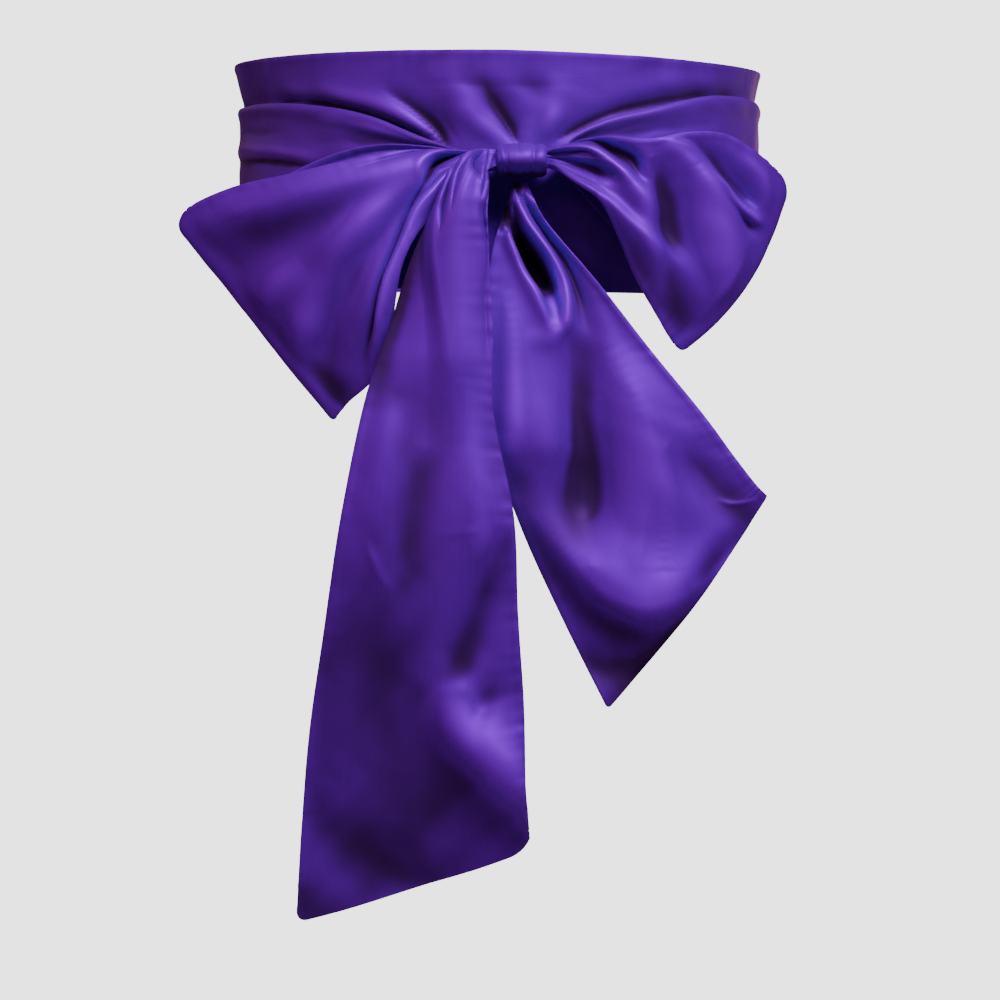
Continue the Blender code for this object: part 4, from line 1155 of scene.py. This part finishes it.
class SASH_OT_loops(bpy.types.Operator):
    """Builds the bow's two loops"""

    bl_idname = "sash.loops"
    bl_label = "Bow Loops"

    def execute(self, context):
        cloth = context.scene.sash_cloth
        row = np.linspace(0.0, len(LEFT_LOOP) - 1.0, LOOP_ROWS)
        for name, node, length, area, outward, seed, corners, tables in (
            ("satin_loop_left", "bow_loop_left", 0.36, 0.038, 1, 11, (9.0, 3.0),
             (LEFT_LOOP, LEFT_LOOP_CREASES, LEFT_LOOP_PAINTED_SHADING, LEFT_LOOP_FOLDS)),
            ("satin_loop_right", "bow_loop_right", 0.30, 0.028, -1, 12, (8.0, 4.0),
             (RIGHT_LOOP, RIGHT_LOOP_CREASES, RIGHT_LOOP_PAINTED_SHADING, RIGHT_LOOP_FOLDS)),
        ):
            sheet = strip(cloth, *tables, row, seed, corners, LOOP_GATHER, outward=outward, turn_row=TIP_ROW)
            piece = shell(name, *sheet, cloth, bow_satin(cloth))
            finish_sheet(piece, node)
        return {"FINISHED"}


class SASH_OT_knot(bpy.types.Operator):
    """Builds the wrap of the knot"""

    bl_idname = "sash.knot"
    bl_label = "Knot"

    def execute(self, context):
        cloth = context.scene.sash_cloth
        piece = shell("satin_knot", *knot_middle(), cloth, bow_satin(cloth), ring=True)
        finish_sheet(piece, "knot_wrap")
        return {"FINISHED"}


class SASH_OT_tails(bpy.types.Operator):
    """Builds the two hanging tails"""

    bl_idname = "sash.tails"
    bl_label = "Tails"

    def execute(self, context):
        cloth = context.scene.sash_cloth
        for name, node, length, area, seed, rows, columns, corners, puckers, reach, tables in (
            ("satin_tail_left", "tail_left", 0.41, 0.036, 21, 312, 120, (6.0, 11.0), (0.6, 1.6), 80.0,
             (LEFT_TAIL, LEFT_TAIL_CREASES, LEFT_TAIL_PAINTED_SHADING)),
            ("satin_tail_right", "tail_right", 0.30, 0.024, 22, 272, 130, (3.0, 3.0), (0.7, 0.7), 60.0,
             (RIGHT_TAIL, RIGHT_TAIL_CREASES, RIGHT_TAIL_PAINTED_SHADING)),
        ):
            last = len(tables[0]) - 1.0
            row = np.unique(np.concatenate([np.linspace(0.0, last, rows), last - END_ROWS]))
            sheet = strip(cloth, *tables, [], row, seed, corners, TAIL_GATHER, reach, columns, puckers)
            piece = shell(name, *sheet, cloth, bow_satin(cloth))
            finish_sheet(piece, node)
        return {"FINISHED"}


# The lights: place, aim, size, power, colour, and the angle its light fans out over.
LIGHTS = {
    "key": ((0.5, -1.15, 1.15), (0.02, -0.12, 0.05), (0.8, 0.5), 4.2, (0.82, 0.9, 1.0), 56.0),
    "front": ((-0.9, -1.6, 0.8), (-0.05, -0.12, 0.0), (1.0, 0.8), 0.6, (1.0, 0.85, 0.6), 60.0),
    "left": ((-1.7, -0.7, 0.5), (-0.1, 0.0, 0.0), (0.8, 0.8), 0.25, (1.0, 0.72, 0.6), 60.0),
    "back": ((0.0, 2.6, 1.6), (0.0, 0.0, 0.0), (1.6, 1.2), 20.0, (1.0, 1.0, 1.0), 180.0),
}
FLOOR_RADIUS = 60.0
FLOOR_CORNERS = 96
SENSOR_WIDTH = 36.0
CAMERA_SIDE = 0.0005


def soft_light(name, place, aim, size, power, colour, spread):
    """An area light at a place, turned to an aim, whose light fans out over the spread."""
    data = bpy.data.lights.new(name, "AREA")
    data.shape = "RECTANGLE"
    data.size, data.size_y = size
    data.energy = power
    data.color = colour
    data.spread = np.radians(spread)
    light = stand(name, data)
    light.location = place
    light.rotation_euler = (Vector(aim) - Vector(place)).to_track_quat("-Z", "Y").to_euler()


class SASH_OT_stage(bpy.types.Operator):
    """Builds the floor, the lights and the camera"""

    bl_idname = "sash.stage"
    bl_label = "Stage"

    def execute(self, context):
        studio = context.scene.sash_studio
        turn = np.linspace(0.0, 2 * np.pi, FLOOR_CORNERS + 1)[:-1]
        height = np.full(FLOOR_CORNERS, studio.floor_height)
        ring = np.stack([FLOOR_RADIUS * np.cos(turn), FLOOR_RADIUS * np.sin(turn), height], -1)
        mesh = bpy.data.meshes.new("floor")
        mesh.from_pydata(ring.tolist(), [], [list(range(FLOOR_CORNERS))])
        paint = bpy.data.materials.new("pale_floor")
        paint.use_nodes = True
        tree = paint.node_tree
        shader = tree.nodes["Principled BSDF"]
        feed(shader, {"Base Color": (0.92, 0.92, 0.92, 1.0), "Roughness": 0.9})
        seen = add(tree, "LightPath", {}).outputs["Is Camera Ray"]
        glow = add(tree, "Emission", {"Strength": studio.backdrop})
        blend = add(tree, "MixShader", {0: seen, 1: shader.outputs[0], 2: glow.outputs[0]})
        feed(tree.nodes["Material Output"], {"Surface": blend.outputs[0]})
        mesh.materials.append(paint)
        floor = stand("floor", mesh)
        world = bpy.data.worlds.new("pale_studio")
        context.scene.world = world
        world.use_nodes = True
        tree = world.node_tree
        seen = add(tree, "LightPath", {}).outputs["Is Camera Ray"]
        range_ends = {"To Min": studio.surround, "To Max": studio.backdrop}
        strength = add(tree, "MapRange", {"Value": seen, **range_ends})
        feed(tree.nodes["Background"], {"Color": (1.0, 1.0, 1.0, 1.0), "Strength": strength.outputs[0]})
        for name, values in LIGHTS.items():
            soft_light(name, *values)
        data = bpy.data.cameras.new("front_view")
        data.sensor_width = SENSOR_WIDTH
        data.lens = studio.lens
        data.clip_end = 100.0
        camera = stand("front_view", data)
        camera.location = (CAMERA_SIDE, -studio.camera_distance, studio.camera_height)
        camera.rotation_euler = (np.pi / 2, 0.0, 0.0)
        context.scene.camera = camera
        return {"FINISHED"}


class SASH_PT_panel(bpy.types.Panel):
    """Lists the steps that build the sash"""

    bl_idname = "SASH_PT_panel"
    bl_label = "Satin Sash"
    bl_space_type = "VIEW_3D"
    bl_region_type = "UI"
    bl_category = "Sash"

    def draw(self, context):
        for operator in OPERATORS:
            self.layout.operator(operator.bl_idname)
        for group in (context.scene.sash_cloth, context.scene.sash_studio):
            for name in group.bl_rna.properties.keys():
                if name not in ("rna_type", "name"):
                    self.layout.prop(group, name)


OPERATORS = (SASH_OT_band, SASH_OT_turns, SASH_OT_loops, SASH_OT_knot, SASH_OT_tails, SASH_OT_stage)
CLASSES = (SashCloth, SashStudio, *OPERATORS, SASH_PT_panel)


def register():
    for kind in CLASSES:
        bpy.utils.register_class(kind)
    bpy.types.Scene.sash_cloth = bpy.props.PointerProperty(type=SashCloth)
    bpy.types.Scene.sash_studio = bpy.props.PointerProperty(type=SashStudio)


def unregister():
    del bpy.types.Scene.sash_cloth
    del bpy.types.Scene.sash_studio
    for kind in reversed(CLASSES):
        bpy.utils.unregister_class(kind)


def main():
    register()
    bpy.ops.sash.band()
    bpy.ops.sash.turns()
    bpy.ops.sash.loops()
    bpy.ops.sash.knot()
    bpy.ops.sash.tails()
    bpy.ops.sash.stage()


if __name__ == "__main__":
    main()
